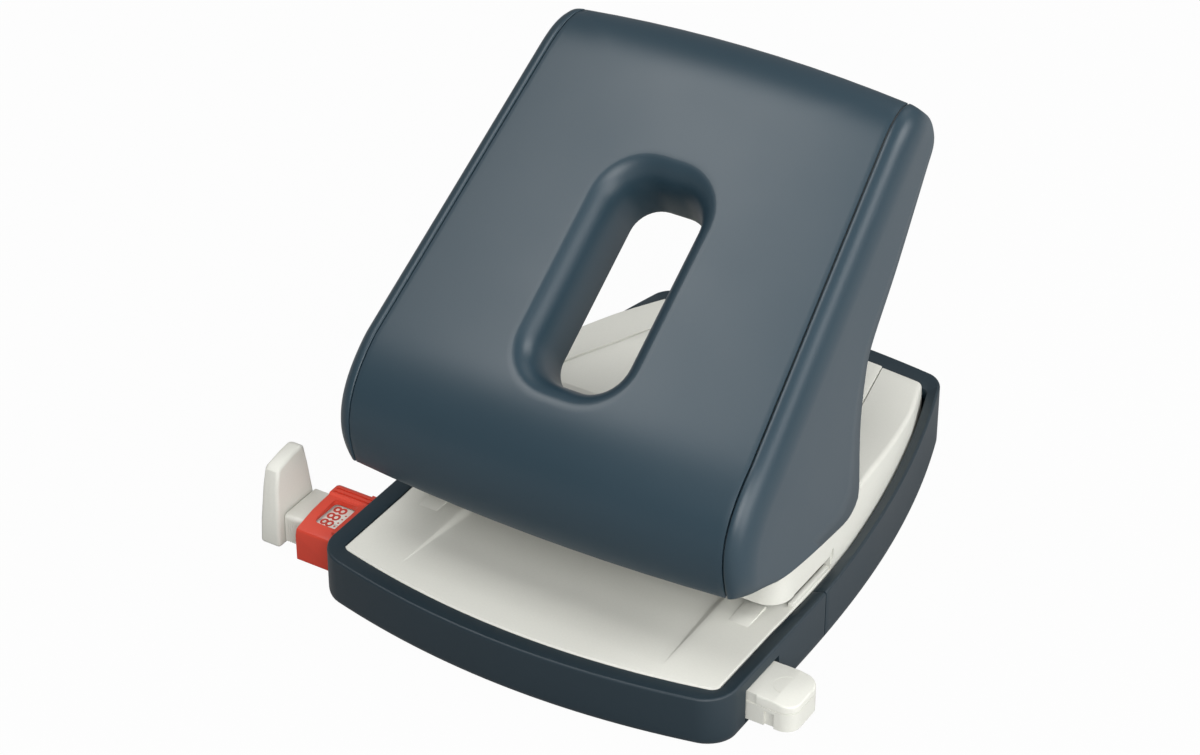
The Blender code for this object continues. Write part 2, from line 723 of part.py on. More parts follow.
def chip_tray():
    """The rear of the base: the drawer, whose tongue lies under the dies."""
    wide = BASE_HALF_WIDTH + OVERRUN
    front = SPLIT_Y + GAP / 2
    tray = base_pan("chip_tray")
    cut(tray, box("before_split", (-wide, FRONT_Y - OVERRUN, -OVERRUN), (wide, front, RIM_FRONT_Z * 2)))
    across = base_half_width(SPLIT_Y) - WALL / 2
    tongue = box("tongue", (-TONGUE_HALF_WIDTH, TONGUE_FRONT_Y, FLOOR_Z),
                 (TONGUE_HALF_WIDTH, front + DRAWER_WALL / 2, DRAWER_WALL_TOP_Z))
    ends = box("front_wall", (-across, front, FLOOR_Z), (across, front + DRAWER_WALL, DRAWER_WALL_TOP_Z))
    join(tray, tongue, ends)
    hollow = box("chip_space", (-TONGUE_HALF_WIDTH + DRAWER_WALL, TONGUE_FRONT_Y + DRAWER_WALL, FLOOR_TOP_Z),
                 (TONGUE_HALF_WIDTH - DRAWER_WALL, front + DRAWER_WALL + OVERRUN, PLATE_LOW_Z))
    cut(tray, hollow)
    half, foot = RAIL_THICKNESS / 2, FLOOR_TOP_Z - FLOOR_THICKNESS / 2
    rails = [box("rail", (side * RAIL_X - half, RAIL_START_Y, foot),
                 (side * RAIL_X + half, RAIL_END_Y, PLATE_LOW_Z - GAP)) for side in BOTH_SIDES]
    join(tray, *rails)
    seats = [rod("foot_seat", FOOT_RADIUS + GAP, (side * FOOT_X, FOOT_Y, -OVERRUN),
                 (side * FOOT_X, FOOT_Y, PAD_THICKNESS + GAP)) for side in BOTH_SIDES]
    cut(tray, *seats)
    return dress(tray, DARK_PLASTIC)


def punch_places():
    """Where the two pins are."""
    return [(side * HOLE_SPACING / 2, PIN_Y) for side in BOTH_SIDES]


def paper_table():
    """The table that the sheets lie on, with its dip, its ramps and the holes round the dies."""
    side = lambda depth: rim_side(depth) + GAP
    bevelled = lambda depth: rim_side(depth) + GAP + TABLE_BEVEL
    front = RIM_FRONT + GAP
    outer = base_outline(side, front, front)
    inner = base_outline(bevelled, front + TABLE_BEVEL, front)
    table = loft("paper_table", [lifted(outer, TABLE_LOW_Z), lifted(outer, TABLE_Z - TABLE_BEVEL),
                                 lifted(inner, TABLE_Z)])
    ramps = []
    for across, _ in punch_places():
        ramp_end = RAMP_END_Y
        outline = [(ramp_end - RAMP_LENGTH, TABLE_Z - TABLE_BEVEL), (ramp_end, TABLE_Z - TABLE_BEVEL),
                   (ramp_end, TABLE_Z + RAMP_HEIGHT), (ramp_end - RAMP_LENGTH, TABLE_Z)]
        ramps.append(flat("ramp", [outline], across - RAMP_WIDTH / 2, across + RAMP_WIDTH / 2, "YZ"))
    bosses = [rod("boss", POST_RADIUS, (across, depth, top + GAP), (across, depth, TABLE_Z - DIP_DEPTH * 1.5))
              for across, depth, top in post_places()[:2]]
    join(table, *ramps, *bosses)
    low, high, end = TABLE_Z - DIP_DEPTH, TABLE_Z + OVERRUN, SLOT_END_Y + OVERRUN
    outline = [(DIP_START_Y, TABLE_Z), (DIP_END_Y, low), (end, low), (end, high), (DIP_START_Y, high)]
    dip = flat("dip", [outline], -DIP_HALF_WIDTH, DIP_HALF_WIDTH, "YZ")
    wide = BASE_HALF_WIDTH + OVERRUN
    behind = box("behind_slot", (-wide, SLOT_END_Y, -OVERRUN), (wide, BEHIND_Y, TABLE_Z * 2))
    die_holes = [rod("die_hole", DIE_RADIUS + GAP, (*place, -OVERRUN), (*place, TABLE_Z + OVERRUN))
                 for place in punch_places()]
    screw_holes = [hole(place, SCREW_HOLE, -OVERRUN, TABLE_LOW_Z + GAP) for place in post_places()[:2]]
    cut(table, behind, dip, *die_holes, *screw_holes)
    return dress(table, LIGHT_PLASTIC)


def base_plate():
    """The steel plate under the table, from the guide bar back."""
    outline = base_outline(PLATE_INSET, PLATE_INSET, PLATE_INSET)
    plate = flat("base_plate", [outline], PLATE_LOW_Z, PLATE_TOP_Z)
    wide = BASE_HALF_WIDTH + OVERRUN
    ends = [box("before_plate", (-wide, FRONT_Y - OVERRUN, -OVERRUN), (wide, PLATE_FRONT_Y, TABLE_Z)),
            box("behind_plate", (-wide, PLATE_REAR_Y, -OVERRUN), (wide, BEHIND_Y, TABLE_Z))]
    die_holes = [rod("die_hole", DIE_RADIUS + GAP, (*place, -OVERRUN), (*place, TABLE_Z))
                 for place in punch_places()]
    places = [place[:2] for place in post_places()[2:]] + cover_screw_places() + frame_screw_places()
    cut(plate, *ends, *die_holes, *[hole(place, SCREW_HOLE, -OVERRUN, TABLE_Z) for place in places])
    return dress(plate, STEEL)


def cover_screw_places():
    """Where the cover's two screws go."""
    return [(side * COVER_SCREW_X, COVER_SCREW_Y) for side in BOTH_SIDES]


def frame_screw_places():
    """Where the frame's two screws go."""
    return [(side * FRAME_SCREW_X, FRAME_SCREW_Y) for side in BOTH_SIDES]


def screw(name, place, head_z, tip_z):
    """A flat-headed screw on a vertical line; its head is at head_z and its tip at tip_z."""
    up = 1 if tip_z > head_z else -1
    neck_z = head_z + up * SCREW_HEAD_HEIGHT
    profile = [(0, tip_z), (SCREW_RADIUS * 0.5, tip_z), (SCREW_RADIUS, tip_z - up * SCREW_RADIUS),
               (SCREW_RADIUS, neck_z), (SCREW_HEAD_RADIUS, neck_z), (SCREW_HEAD_RADIUS, head_z), (0, head_z)]
    if up < 0:
        profile.reverse()
    part = turned(name, profile, (place[0], place[1], 0), SMALL_SIDES)
    return dress(part, STEEL)


def rubber_parts():
    """The non-slip strip under the front shell and the two feet under the drawer."""
    half = PAD_WIDTH / 2
    pad = box("front_pad", (-PAD_HALF_LENGTH, -half, 0), (PAD_HALF_LENGTH, half, PAD_THICKNESS))
    dress(pad, RUBBER)
    feet = [rod(f"rear_foot_{SIDE_NAMES[side]}", FOOT_RADIUS, (side * FOOT_X, FOOT_Y, 0),
                (side * FOOT_X, FOOT_Y, PAD_THICKNESS)) for side in BOTH_SIDES]
    return [dress(foot, RUBBER) for foot in feet]


def fasteners():
    """All the screws of the base."""
    for number, (across, depth, top) in enumerate(post_places(), start=1):
        tip = TABLE_LOW_Z if number <= 2 else PLATE_TOP_Z
        screw(f"base_screw_{number}", (across, depth), FLOOR_Z + GAP, tip - GAP)
    for side, place in zip(BOTH_SIDES, cover_screw_places()):
        head = PLATE_LOW_Z - GAP - SCREW_HEAD_HEIGHT
        screw(f"cover_screw_{SIDE_NAMES[side]}", place, head, TABLE_Z + SLOT_HEIGHT)
    for side, place in zip(BOTH_SIDES, frame_screw_places()):
        head = PLATE_TOP_Z + GAP + SHEET + GAP + SCREW_HEAD_HEIGHT
        screw(f"frame_screw_{SIDE_NAMES[side]}", place, head, PLATE_LOW_Z - GAP)


def punch_frame():
    """The bent steel frame: foot, web behind the slot, upper jaw, and the two ears for the axle."""
    foot_z = PLATE_TOP_Z + GAP
    web_back = WEB_FRONT_Y + SHEET
    outline = [(FRAME_FRONT_Y, SLOT_TOP_Z), (WEB_FRONT_Y, SLOT_TOP_Z), (WEB_FRONT_Y, foot_z),
               (web_back + FRAME_FOOT_LENGTH, foot_z), (web_back + FRAME_FOOT_LENGTH, foot_z + SHEET),
               (web_back, foot_z + SHEET), (web_back, JAW_TOP_Z), (FRAME_FRONT_Y, JAW_TOP_Z)]
    frame = flat("punch_frame", [outline], -FRAME_HALF_WIDTH, FRAME_HALF_WIDTH, "YZ")
    hub = arc((PIVOT_Y, PIVOT_Z), ARM_HUB, 0.20, 0.72, 10)
    half = SHEET / 2
    ear = [(FRAME_FRONT_Y, JAW_TOP_Z - half), (WEB_FRONT_Y, JAW_TOP_Z - half),
           (WEB_FRONT_Y, blend(JAW_TOP_Z, PIVOT_Z, 0.35)),
           (PIVOT_Y + EAR_NECK_REACH, PIVOT_Z - EAR_NECK_DROP)]
    ear += hub + [(FRAME_FRONT_Y, blend(COVER_TOP_Z, PIVOT_Z - ARM_HUB, 0.5))]
    ears = [flat("ear", [ear], side * EAR_X - half, side * EAR_X + half, "YZ") for side in BOTH_SIDES]
    join(frame, *ears)
    axle_hole = rod("axle_hole", AXLE_RADIUS + RUNNING, (-AXLE_HALF_LENGTH, PIVOT_Y, PIVOT_Z),
                    (AXLE_HALF_LENGTH, PIVOT_Y, PIVOT_Z))
    bush_holes = [rod("bush_hole", BUSH_RADIUS + GAP, (*place, TABLE_Z), (*place, JAW_TOP_Z + OVERRUN))
                  for place in punch_places()]
    screw_holes = [hole(place, SCREW_HOLE, PLATE_TOP_Z - OVERRUN, SLOT_TOP_Z)
                   for place in frame_screw_places()]
    cut(frame, axle_hole, *bush_holes, *screw_holes)
    return dress(frame, STEEL)


def dies_and_bushes():
    """The rings that the pins cut against, and the bushes that guide them."""
    bore = PIN_RADIUS + RUNNING
    for side, (across, depth) in zip(BOTH_SIDES, punch_places()):
        top = TABLE_Z + DIE_STAND
        flange_top = PLATE_LOW_Z - GAP
        flange_low = flange_top - DIE_FLANGE_HEIGHT
        profile = [(bore, top), (DIE_RADIUS, top), (DIE_RADIUS, flange_top), (DIE_FLANGE, flange_top),
                   (DIE_FLANGE, flange_low), (bore + RUNNING, flange_low)]
        dress(turned(f"die_{SIDE_NAMES[side]}", profile, (across, depth, 0)), SPRING_STEEL)
        collar_low = JAW_TOP_Z + GAP
        collar_top = collar_low + COLLAR_HEIGHT
        profile = [(bore, BUSH_TOP_Z), (BUSH_NECK_RADIUS, BUSH_TOP_Z), (BUSH_NECK_RADIUS, collar_top),
                   (COLLAR_RADIUS, collar_top), (COLLAR_RADIUS, collar_low), (BUSH_RADIUS, collar_low),
                   (BUSH_RADIUS, SLOT_TOP_Z), (bore, SLOT_TOP_Z)]
        dress(turned(f"guide_bush_{SIDE_NAMES[side]}", profile, (across, depth, 0)), STEEL)


def pins():
    """The punch pins, each hung on an empty on its own line."""
    for side, (across, depth) in zip(BOTH_SIDES, punch_places()):
        profile = [(0, PIN_TOP_Z), (PIN_HEAD_RADIUS / 2, PIN_TOP_Z - PIN_CROWN / 4),
                   (PIN_HEAD_RADIUS, PIN_TOP_Z - PIN_CROWN), (PIN_HEAD_RADIUS, PIN_HEAD_Z),
                   (PIN_RADIUS, PIN_HEAD_Z), (PIN_RADIUS, PIN_LOW_Z), (0, PIN_LOW_Z + PIN_CROWN)]
        pin = turned(f"punch_pin_{SIDE_NAMES[side]}", profile, (across, depth, 0))
        carry([dress(pin, SPRING_STEEL)], f"pin_line_{SIDE_NAMES[side]}", (across, depth, PIN_TOP_Z))


def spring_points(low, high):
    """Points up a coil; the coil's radius and turns are the spring's own sizes."""
    steps = round(SPRING_TURNS * SPRING_POINTS)
    turns = [SPRING_TURNS * step / steps for step in range(steps + 1)]
    return [(SPRING_RADIUS * cos(tau * turn), SPRING_RADIUS * sin(tau * turn),
             blend(low, high, turn / SPRING_TURNS)) for turn in turns]


def springs():
    """The return springs, round the bushes and under the pins' heads."""
    low = JAW_TOP_Z + GAP + COLLAR_HEIGHT + GAP + SPRING_WIRE
    high = PIN_HEAD_Z - GAP - SPRING_WIRE
    print(f"spring: least gap between turns {((high - low) / SPRING_TURNS - 2 * SPRING_WIRE) * 1000:.2f} mm")
    for side, (across, depth) in zip(BOTH_SIDES, punch_places()):
        curve = bpy.data.curves.new(f"pin_spring_{SIDE_NAMES[side]}", "CURVE")
        curve.dimensions = "3D"
        curve.bevel_depth = SPRING_WIRE
        curve.bevel_resolution = 1
        curve.use_fill_caps = True
        spline = curve.splines.new("POLY")
        points = spring_points(low, high)
        spline.points.add(len(points) - 1)
        for point, (along, over, height) in zip(spline.points, points):
            point.co = (across + along, depth + over, height, 1)
        coil = bpy.data.objects.new(f"pin_spring_{SIDE_NAMES[side]}", curve)
        PARTS.objects.link(coil)
        dress(as_mesh(coil), SPRING_STEEL)


def axle():
    """The hinge pin, with an open clip near each end."""
    pin = rod("hinge_pin", AXLE_RADIUS, (-AXLE_HALF_LENGTH, PIVOT_Y, PIVOT_Z),
              (AXLE_HALF_LENGTH, PIVOT_Y, PIVOT_Z))
    dress(pin, SPRING_STEEL)
    inside = ARM_INSIDE_X + SHEET + GAP
    for side in BOTH_SIDES:
        inner = arc((PIVOT_Y, PIVOT_Z), AXLE_RADIUS + GAP, CLIP_MOUTH_SHARE, 1 - CLIP_MOUTH_SHARE, 14)
        outer = arc((PIVOT_Y, PIVOT_Z), AXLE_RADIUS + GAP + CLIP_WIDTH, 1 - CLIP_MOUTH_SHARE,
                    CLIP_MOUTH_SHARE, 14)
        low, high = sorted((side * inside, side * (inside + CLIP_THICKNESS)))
        dress(flat(f"hinge_clip_{SIDE_NAMES[side]}", [inner + outer], low, high, "YZ"), SPRING_STEEL)


def cover_height(depth):
    """The height of the cover's top: flat over the mechanism, then sloping down to the rear rim."""
    return min(COVER_TOP_Z, HUMP_REAR_Z + HUMP_SLOPE_SHARE * (HUMP_REAR_Y - depth))


def cover_outline(inset):
    """The cover's outline, drawn in by an amount."""
    return plan_outline(
        lambda depth: base_half_width(depth) - rim_side(depth) - GAP - inset,
        lambda across: COVER_FRONT_Y + inset,
        lambda across: base_rear(across) - RIM_REAR - GAP - inset,
        COVER_CORNER - inset, COVER_REAR_CORNER - inset * COVER_REAR_CORNER_SHARE)


def panel_half_width(depth):
    """Half the width of the centre panel's opening at a place along Y."""
    return PANEL_REAR_HALF_WIDTH + PANEL_FLARE_SHARE * (HUMP_REAR_Y - depth)


def mechanism_cover():
    """The housing over the mechanism and the sloping cover behind it, as one shell."""
    low = PLATE_TOP_Z + GAP
    cover = loft("mechanism_cover", [
        lifted(cover_outline(0), low),
        lifted(cover_outline(0), TABLE_Z),
        lifted(cover_outline(COVER_DRAFT), lambda depth: cover_height(depth) - COVER_EDGE),
        lifted(cover_outline(COVER_DRAFT + COVER_EDGE), cover_height)], ladder_top=True)
    inside = cover_outline(COVER_DRAFT + COVER_WALL)
    space = loft("inside", [lifted(inside, low - OVERRUN),
                            lifted(inside, lambda depth: cover_height(depth) - COVER_WALL)], ladder_top=True)
    cut(cover, space)
    bosses = [rod("boss", COVER_BOSS_RADIUS, (across, depth, PLATE_TOP_Z + GAP),
                  (across, depth, cover_height(depth) - COVER_WALL / 2))
             for across, depth in cover_screw_places()]
    join(cover, *bosses)
    wide = BASE_HALF_WIDTH + OVERRUN
    slot = box("slot", (-wide, FRONT_Y, FLOOR_Z), (wide, SLOT_END_Y, SLOT_TOP_Z))
    well = box("well", (-WELL_HALF_WIDTH, WELL_FRONT_Y, WELL_Z), (WELL_HALF_WIDTH, WELL_REAR_Y, PIVOT_Z))
    front_x = panel_half_width(PANEL_FRONT_Y)
    rear_x = panel_half_width(BEHIND_Y)
    window = flat("panel_window", [[(-front_x, PANEL_FRONT_Y), (front_x, PANEL_FRONT_Y), (rear_x, BEHIND_Y),
                                    (-rear_x, BEHIND_Y)]], TABLE_Z, PIVOT_Z)
    holes = [hole(place, SCREW_HOLE, PLATE_TOP_Z - OVERRUN, SLOT_TOP_Z + GAP)
             for place in cover_screw_places()]
    cut(cover, slot, well, window, *holes)
    return dress(cover, LIGHT_PLASTIC)


def panel_dip(depth):
    """How far the centre panel sinks at a place along Y."""
    share = (PANEL_DIP_END_Y - depth) / (PANEL_DIP_END_Y - PANEL_DIP_START_Y)
    share = min(1, max(0, share))
    return PANEL_DIP * share * share * (3 - 2 * share)


def centre_panel():
    """The middle panel of the rear cover, flush at the rear and dished in front."""
    rows = []
    front = PANEL_FRONT_Y + GAP
    long_steps, cross_steps = 16, 10
    for step in range(long_steps + 1):
        row = []
        for place in range(cross_steps + 1):
            share = 2 * place / cross_steps - 1
            rear = base_rear(share * PANEL_REAR_HALF_WIDTH) - RIM_REAR - GAP
            depth = blend(front, rear, step / long_steps)
            sunk = panel_dip(depth) * blend(1, PANEL_DIP_EDGE_SHARE, share * share)
            row.append((share * (panel_half_width(depth) - GAP), depth, cover_height(depth) - sunk))
        rows.append(row)
    rows = [list(reversed(row)) for row in rows]
    return dress(sheet("centre_panel", rows, PANEL_THICKNESS), LIGHT_PLASTIC)


def lever_point(shares):
    """A place on the lever's side view, from shares of its depth and its rise."""
    return (LEVER_FRONT_Y + shares[0] * LEVER_DEPTH, LEVER_FOOT_Z + shares[1] * LEVER_RISE)


def lever_profile():
    """Points up the seam, evenly spaced: front roll, straight plate and top roll."""
    front = [bezier([lever_point(point) for point in FRONT_ROLL_SHARES], step / 24) for step in range(25)]
    top = [bezier([lever_point(point) for point in TOP_ROLL_SHARES], step / 12) for step in range(13)]
    return front + top


def along_path(path, share):
    """The place on a path at a share of its length, with the path's direction there."""
    lengths = [hypot(second[0] - first[0], second[1] - first[1]) for first, second in zip(path, path[1:])]
    target = share * sum(lengths)
    for index, length in enumerate(lengths):
        if target <= length or index == len(lengths) - 1:
            part = target / length
            start, end = path[index], path[index + 1]
            place = (blend(start[0], end[0], part), blend(start[1], end[1], part))
            return place, ((end[0] - start[0]) / length, (end[1] - start[1]) / length)
        target -= length
    return path[-1], (0, 1)


def lever_half_width(share):
    """Half the width of the top plate, from seam to seam."""
    return blend(LEVER_FOOT_HALF_WIDTH, LEVER_TOP_HALF_WIDTH, max(0, share - KNEE_SHARE) / (1 - KNEE_SHARE))


def plate_point(across_share, share, depth=0.0):
    """A point of the lever's top face, crowned in the middle, sunk by a depth."""
    (back, height), (run, rise) = along_path(lever_profile(), share)
    lift = LEVER_CROWN * (1 - across_share ** 2) - depth
    return (across_share * (lever_half_width(share) - GAP / 2), back - rise * lift, height + run * lift)


def plate_length():
    """The length of the plate's profile."""
    path = lever_profile()
    return sum(hypot(second[0] - first[0], second[1] - first[1]) for first, second in zip(path, path[1:]))


def dish_ring(part, places):
    """A ring round the dish, as (across, along): part 0 is the hole's edge and part 1 the dish's."""
    side, turn, end = places
    width = blend(HOLE_HALF_WIDTH, DISH_HALF_WIDTH, part)
    length = blend(HOLE_HALF_LENGTH, DISH_HALF_LENGTH, part)
    corner = blend(HOLE_CORNER, DISH_CORNER, part)
    flat_width, flat_length = width - corner, length - corner
    ring = [(width, blend(-flat_length, flat_length, step / side)) for step in range(side)]
    ring += arc((flat_width, flat_length), corner, 0, 0.25, turn)[:-1]
    ring += [(blend(flat_width, -flat_width, step / end), length) for step in range(end)]
    ring += arc((-flat_width, flat_length), corner, 0.25, 0.5, turn)[:-1]
    ring += [(-width, blend(flat_length, -flat_length, step / side)) for step in range(side)]
    ring += arc((-flat_width, -flat_length), corner, 0.5, 0.75, turn)[:-1]
    ring += [(blend(-flat_width, flat_width, step / end), -length) for step in range(end)]
    ring += arc((flat_width, -flat_length), corner, 0.75, 1, turn)[:-1]
    return ring


def plate_edge(places):
    """The plate's outer edge, as (across share, along share), in step with the dish's rings."""
    side, turn, end = places
    low, high = PLATE_SIDE_SHARES
    ring = [(1, blend(low, high, step / side)) for step in range(side)]
    ring += [(1, blend(high, 1, step / turn)) for step in range(turn)]
    ring += [(blend(1, -1, step / end), 1) for step in range(end)]
    ring += [(-1, blend(1, high, step / turn)) for step in range(turn)]
    ring += [(-1, blend(high, low, step / side)) for step in range(side)]
    ring += [(-1, blend(low, 0, step / turn)) for step in range(turn)]
    ring += [(blend(-1, 1, step / end), 0) for step in range(end)]
    ring += [(1, blend(0, low, step / turn)) for step in range(turn)]
    return ring


def lever_cover():
    """The lever's top plate, with the dish and the hole through it, as one thick sheet."""
    length = plate_length()
    rings = []
    for part, sunk in reversed(DISH_PROFILE_SHARES):
        ring = []
        for across, along in dish_ring(part, PLATE_PLACES):
            share = DISH_CENTRE_SHARE + along / length
            ring.append(plate_point(across / lever_half_width(share), share, DISH_DEPTH * sunk))
        rings.append(ring)
    lip = dish_ring(1, PLATE_PLACES)
    for step in range(1, PLATE_RINGS + 1):
        part = step / PLATE_RINGS
        ring = []
        for (across, along), (edge_across, edge_share) in zip(lip, plate_edge(PLATE_PLACES)):
            share = DISH_CENTRE_SHARE + along / length
            across_share = across / lever_half_width(share)
            ring.append(plate_point(blend(across_share, edge_across, part), blend(share, edge_share, part)))
        rings.append(ring)
    return dress(sheet("lever_cover", rings, LEVER_SKIN, closed=True), DARK_PAINT)


def cheek_bulge(share):
    """How far a cheek stands out beyond its seam; it rounds off towards both ends."""
    near_end = max(0, (CHEEK_FOOT_SHARE - share) / CHEEK_FOOT_SHARE,
                   (share - 1 + CHEEK_TOP_SHARE) / CHEEK_TOP_SHARE)
    return CHEEK_BULGE * blend(CHEEK_END_BULGE_SHARE, 1, (1 - near_end ** 2) ** 0.5)


def lever_side(side):
    """One cheek: it rolls over from the seam and runs down to its free edge."""
    profile = lever_profile()
    edge_path = [lever_point(point) for point in CHEEK_EDGE_SHARES]
    outer, inner = [], []
    for step in range(PROFILE_STEPS + 1):
        share = (1 - cos(pi * step / PROFILE_STEPS)) / 2
        (back, height), _ = along_path(profile, share)
        (edge_back, edge_height), _ = along_path(edge_path, share)
        reach = hypot(edge_back - back, edge_height - height)
        roll = min(CHEEK_ROLL, reach * 0.8) / reach
        wall = min(LEVER_SKIN, reach * 0.4) / reach
        seam = lever_half_width(share) + GAP / 2
        bulge = cheek_bulge(share)
        angles = [pi / 2 * turn_step / ROLL_STEPS for turn_step in range(ROLL_STEPS + 1)]
        stations = [(angle, roll * (1 - cos(angle))) for angle in angles]
        stations += [(pi / 2, blend(roll, 1, 0.5)), (pi / 2, 1)]
        outer.append([(side * (seam + bulge * sin(angle)), blend(back, edge_back, part),
                       blend(height, edge_height, part)) for angle, part in stations])
        deeper = [(angle, part + wall * cos(angle)) for angle, part in stations]
        inner.append([(side * (seam + (bulge - LEVER_SKIN) * sin(angle)), blend(back, edge_back, part),
                       blend(height, edge_height, part)) for angle, part in deeper])
    return dress(shell(f"lever_side_{SIDE_NAMES[side]}", outer, inner), DARK_PAINT)


def inside_point(share, distance):
    """A point of the lever's side view, a distance inside the seam line."""
    (back, height), (run, rise) = along_path(lever_profile(), share)
    return (back + rise * distance, height - run * distance)


def arm_distance():
    """How far inside the seam line the arms' top edge runs, to lie just under the crowned plate."""
    across_share = (ARM_INSIDE_X + SHEET) / LEVER_FOOT_HALF_WIDTH
    return LEVER_SKIN - LEVER_CROWN * (1 - across_share ** 2) + GAP * 3


def lever_frame():
    """The steel bracket inside the lever: a web and two arms that reach the axle and the press bar."""
    near = arm_distance()
    shares = [blend(WEB_LOW_SHARE, WEB_HIGH_SHARE, step / 5) for step in range(6)]
    web = [inside_point(share, near + GAP) for share in shares]
    web += [inside_point(share, near + GAP + WEB_THICKNESS) for share in reversed(shares)]
    outside = ARM_INSIDE_X + SHEET
    web_end = ARM_INSIDE_X + SHEET / 2
    frame = flat("lever_frame", [web], -web_end, web_end, "YZ")
    top = [inside_point(blend(ARM_LOW_SHARE, ARM_TOP_SHARE, step / 9), near) for step in range(10)]
    boss = arc((PRESS_Y, PRESS_Z), ARM_BOSS, 0.10, -0.22, 8)
    hub = arc((PIVOT_Y, PIVOT_Z), ARM_HUB, -0.22, -0.50, 7)
    arms = []
    for side in BOTH_SIDES:
        low, high = sorted((side * ARM_INSIDE_X, side * outside))
        arms.append(flat("arm", [top + boss + hub], low, high, "YZ"))
    join(frame, *arms)
    reach = outside + OVERRUN
    axle_hole = rod("axle_hole", AXLE_RADIUS + RUNNING, (-reach, PIVOT_Y, PIVOT_Z), (reach, PIVOT_Y, PIVOT_Z))
    bar_hole = rod("bar_hole", PRESS_BAR_RADIUS + RUNNING,
                   (-reach, PRESS_Y, PRESS_Z), (reach, PRESS_Y, PRESS_Z))
    cut(frame, axle_hole, bar_hole)
    return dress(frame, STEEL)


def press_bar():
    """The bar across the arms that presses on both pins."""
    bar = rod("press_bar", PRESS_BAR_RADIUS, (-PRESS_BAR_HALF_LENGTH, PRESS_Y, PRESS_Z),
              (PRESS_BAR_HALF_LENGTH, PRESS_Y, PRESS_Z))
    return dress(bar, STEEL)


def bar_section(half_width, low, high, edge):
    """The guide bar's section, with bevelled upper edges, as points in the YZ plane."""
    return [(-half_width, low), (half_width, low), (half_width, high - edge), (half_width - edge, high),
            (-half_width + edge, high), (-half_width, high - edge)]


def guide_bar():
    """The sliding bar, with its end sockets and the seat of the format strip."""
    half = BAR_WIDTH / 2
    section = bar_section(half, BAR_BOTTOM_Z, BAR_TOP_Z, BAR_EDGE)
    bar = flat("guide_bar", [section], BAR_LEFT_X + GAP, BAR_RIGHT_X, "YZ")
    sockets = [spigot("socket", BAR_LEFT_X, SPIGOT_LENGTH + GAP, GAP),
               spigot("socket", BAR_RIGHT_X, -SPIGOT_LENGTH - GAP, GAP)]
    seat = box("strip_seat", (STRIP_LEFT_X - GAP, -STRIP_WIDTH / 2 - GAP, BAR_TOP_Z - STRIP_THICKNESS - GAP),
               (STRIP_RIGHT_X + GAP, STRIP_WIDTH / 2 + GAP, BAR_TOP_Z + OVERRUN))
    cut(bar, *sockets, seat)
    return dress(bar, LIGHT_PLASTIC)


def spigot(name, start, length, extra):
    """A square peg along X from a bar's end; extra makes it a socket's cutter."""
    low, high = sorted((start - (extra if length > 0 else -extra) * 4, start + length))
    return box(name, (low, -SPIGOT_WIDTH / 2 - extra, BAR_MIDDLE_Z - SPIGOT_HEIGHT / 2 - extra),
               (high, SPIGOT_WIDTH / 2 + extra, BAR_MIDDLE_Z + SPIGOT_HEIGHT / 2 + extra))


def guide_stop():
    """The upright stop, thinner and narrower towards its crowned top."""
    half = STOP_WIDTH / 2
    shares = ((-1, 0.0, 0.0), (-0.97, 0.30, 0.2), (-0.88, 0.70, 0.7), (-0.77, 0.90, 0.9), (-0.66, 0.935, 0.95),
              (0.0, 0.985, 1.0), (0.48, 1.0, 1.0), (0.62, 0.96, 1.0), (0.76, 0.70, 0.7), (0.92, 0.30, 0.2),
              (1, 0.0, 0.0))
    inner, outer = [], []
    for across, up, thin in shares:
        depth = STOP_MIDDLE_Y + across * half
        height = STOP_LOW_Z + up * STOP_HEIGHT
        taper = (STOP_THICKNESS - STOP_TOP_THICKNESS) * thin
        inner.append((BAR_LEFT_X - taper * 0.3, depth, height))
        outer.append((BAR_LEFT_X - STOP_THICKNESS + taper * 0.7, depth, height))
    stop = loft("guide_stop", [inner, outer])
    join(stop, spigot("peg", BAR_LEFT_X - GAP, SPIGOT_LENGTH, 0))
    return dress(stop, LIGHT_PLASTIC)


def guide_bar_end():
    """The block at the bar's right end, rounded in plan."""
    half = BAR_WIDTH / 2
    left = BAR_RIGHT_X + GAP
    right = BAR_RIGHT_X + BLOCK_LENGTH
    corner = BLOCK_CORNER
    outline = [(left, -half), *arc((right - corner, -half + corner), corner, -0.25, 0, 4),
               *arc((right - corner, half - corner), corner, 0, 0.25, 4), (left, half)]
    end = flat("guide_bar_end", [outline], BAR_BOTTOM_Z, BAR_TOP_Z)
    crown = flat("crown", [bar_section(half, BAR_BOTTOM_Z, BAR_TOP_Z, BAR_EDGE)], left, right + OVERRUN, "YZ")
    combine(end, [crown], "INTERSECT")
    join(end, spigot("peg", BAR_RIGHT_X + GAP * 2, -SPIGOT_LENGTH, 0))
    return dress(end, LIGHT_PLASTIC)


def format_strip():
    """The strip with the format numbers, inlaid in the bar's top."""
    strip = box("format_strip", (STRIP_LEFT_X, -STRIP_WIDTH / 2, BAR_TOP_Z - STRIP_THICKNESS),
                (STRIP_RIGHT_X, STRIP_WIDTH / 2, BAR_TOP_Z))
    return dress(strip, LIGHT_PLASTIC)


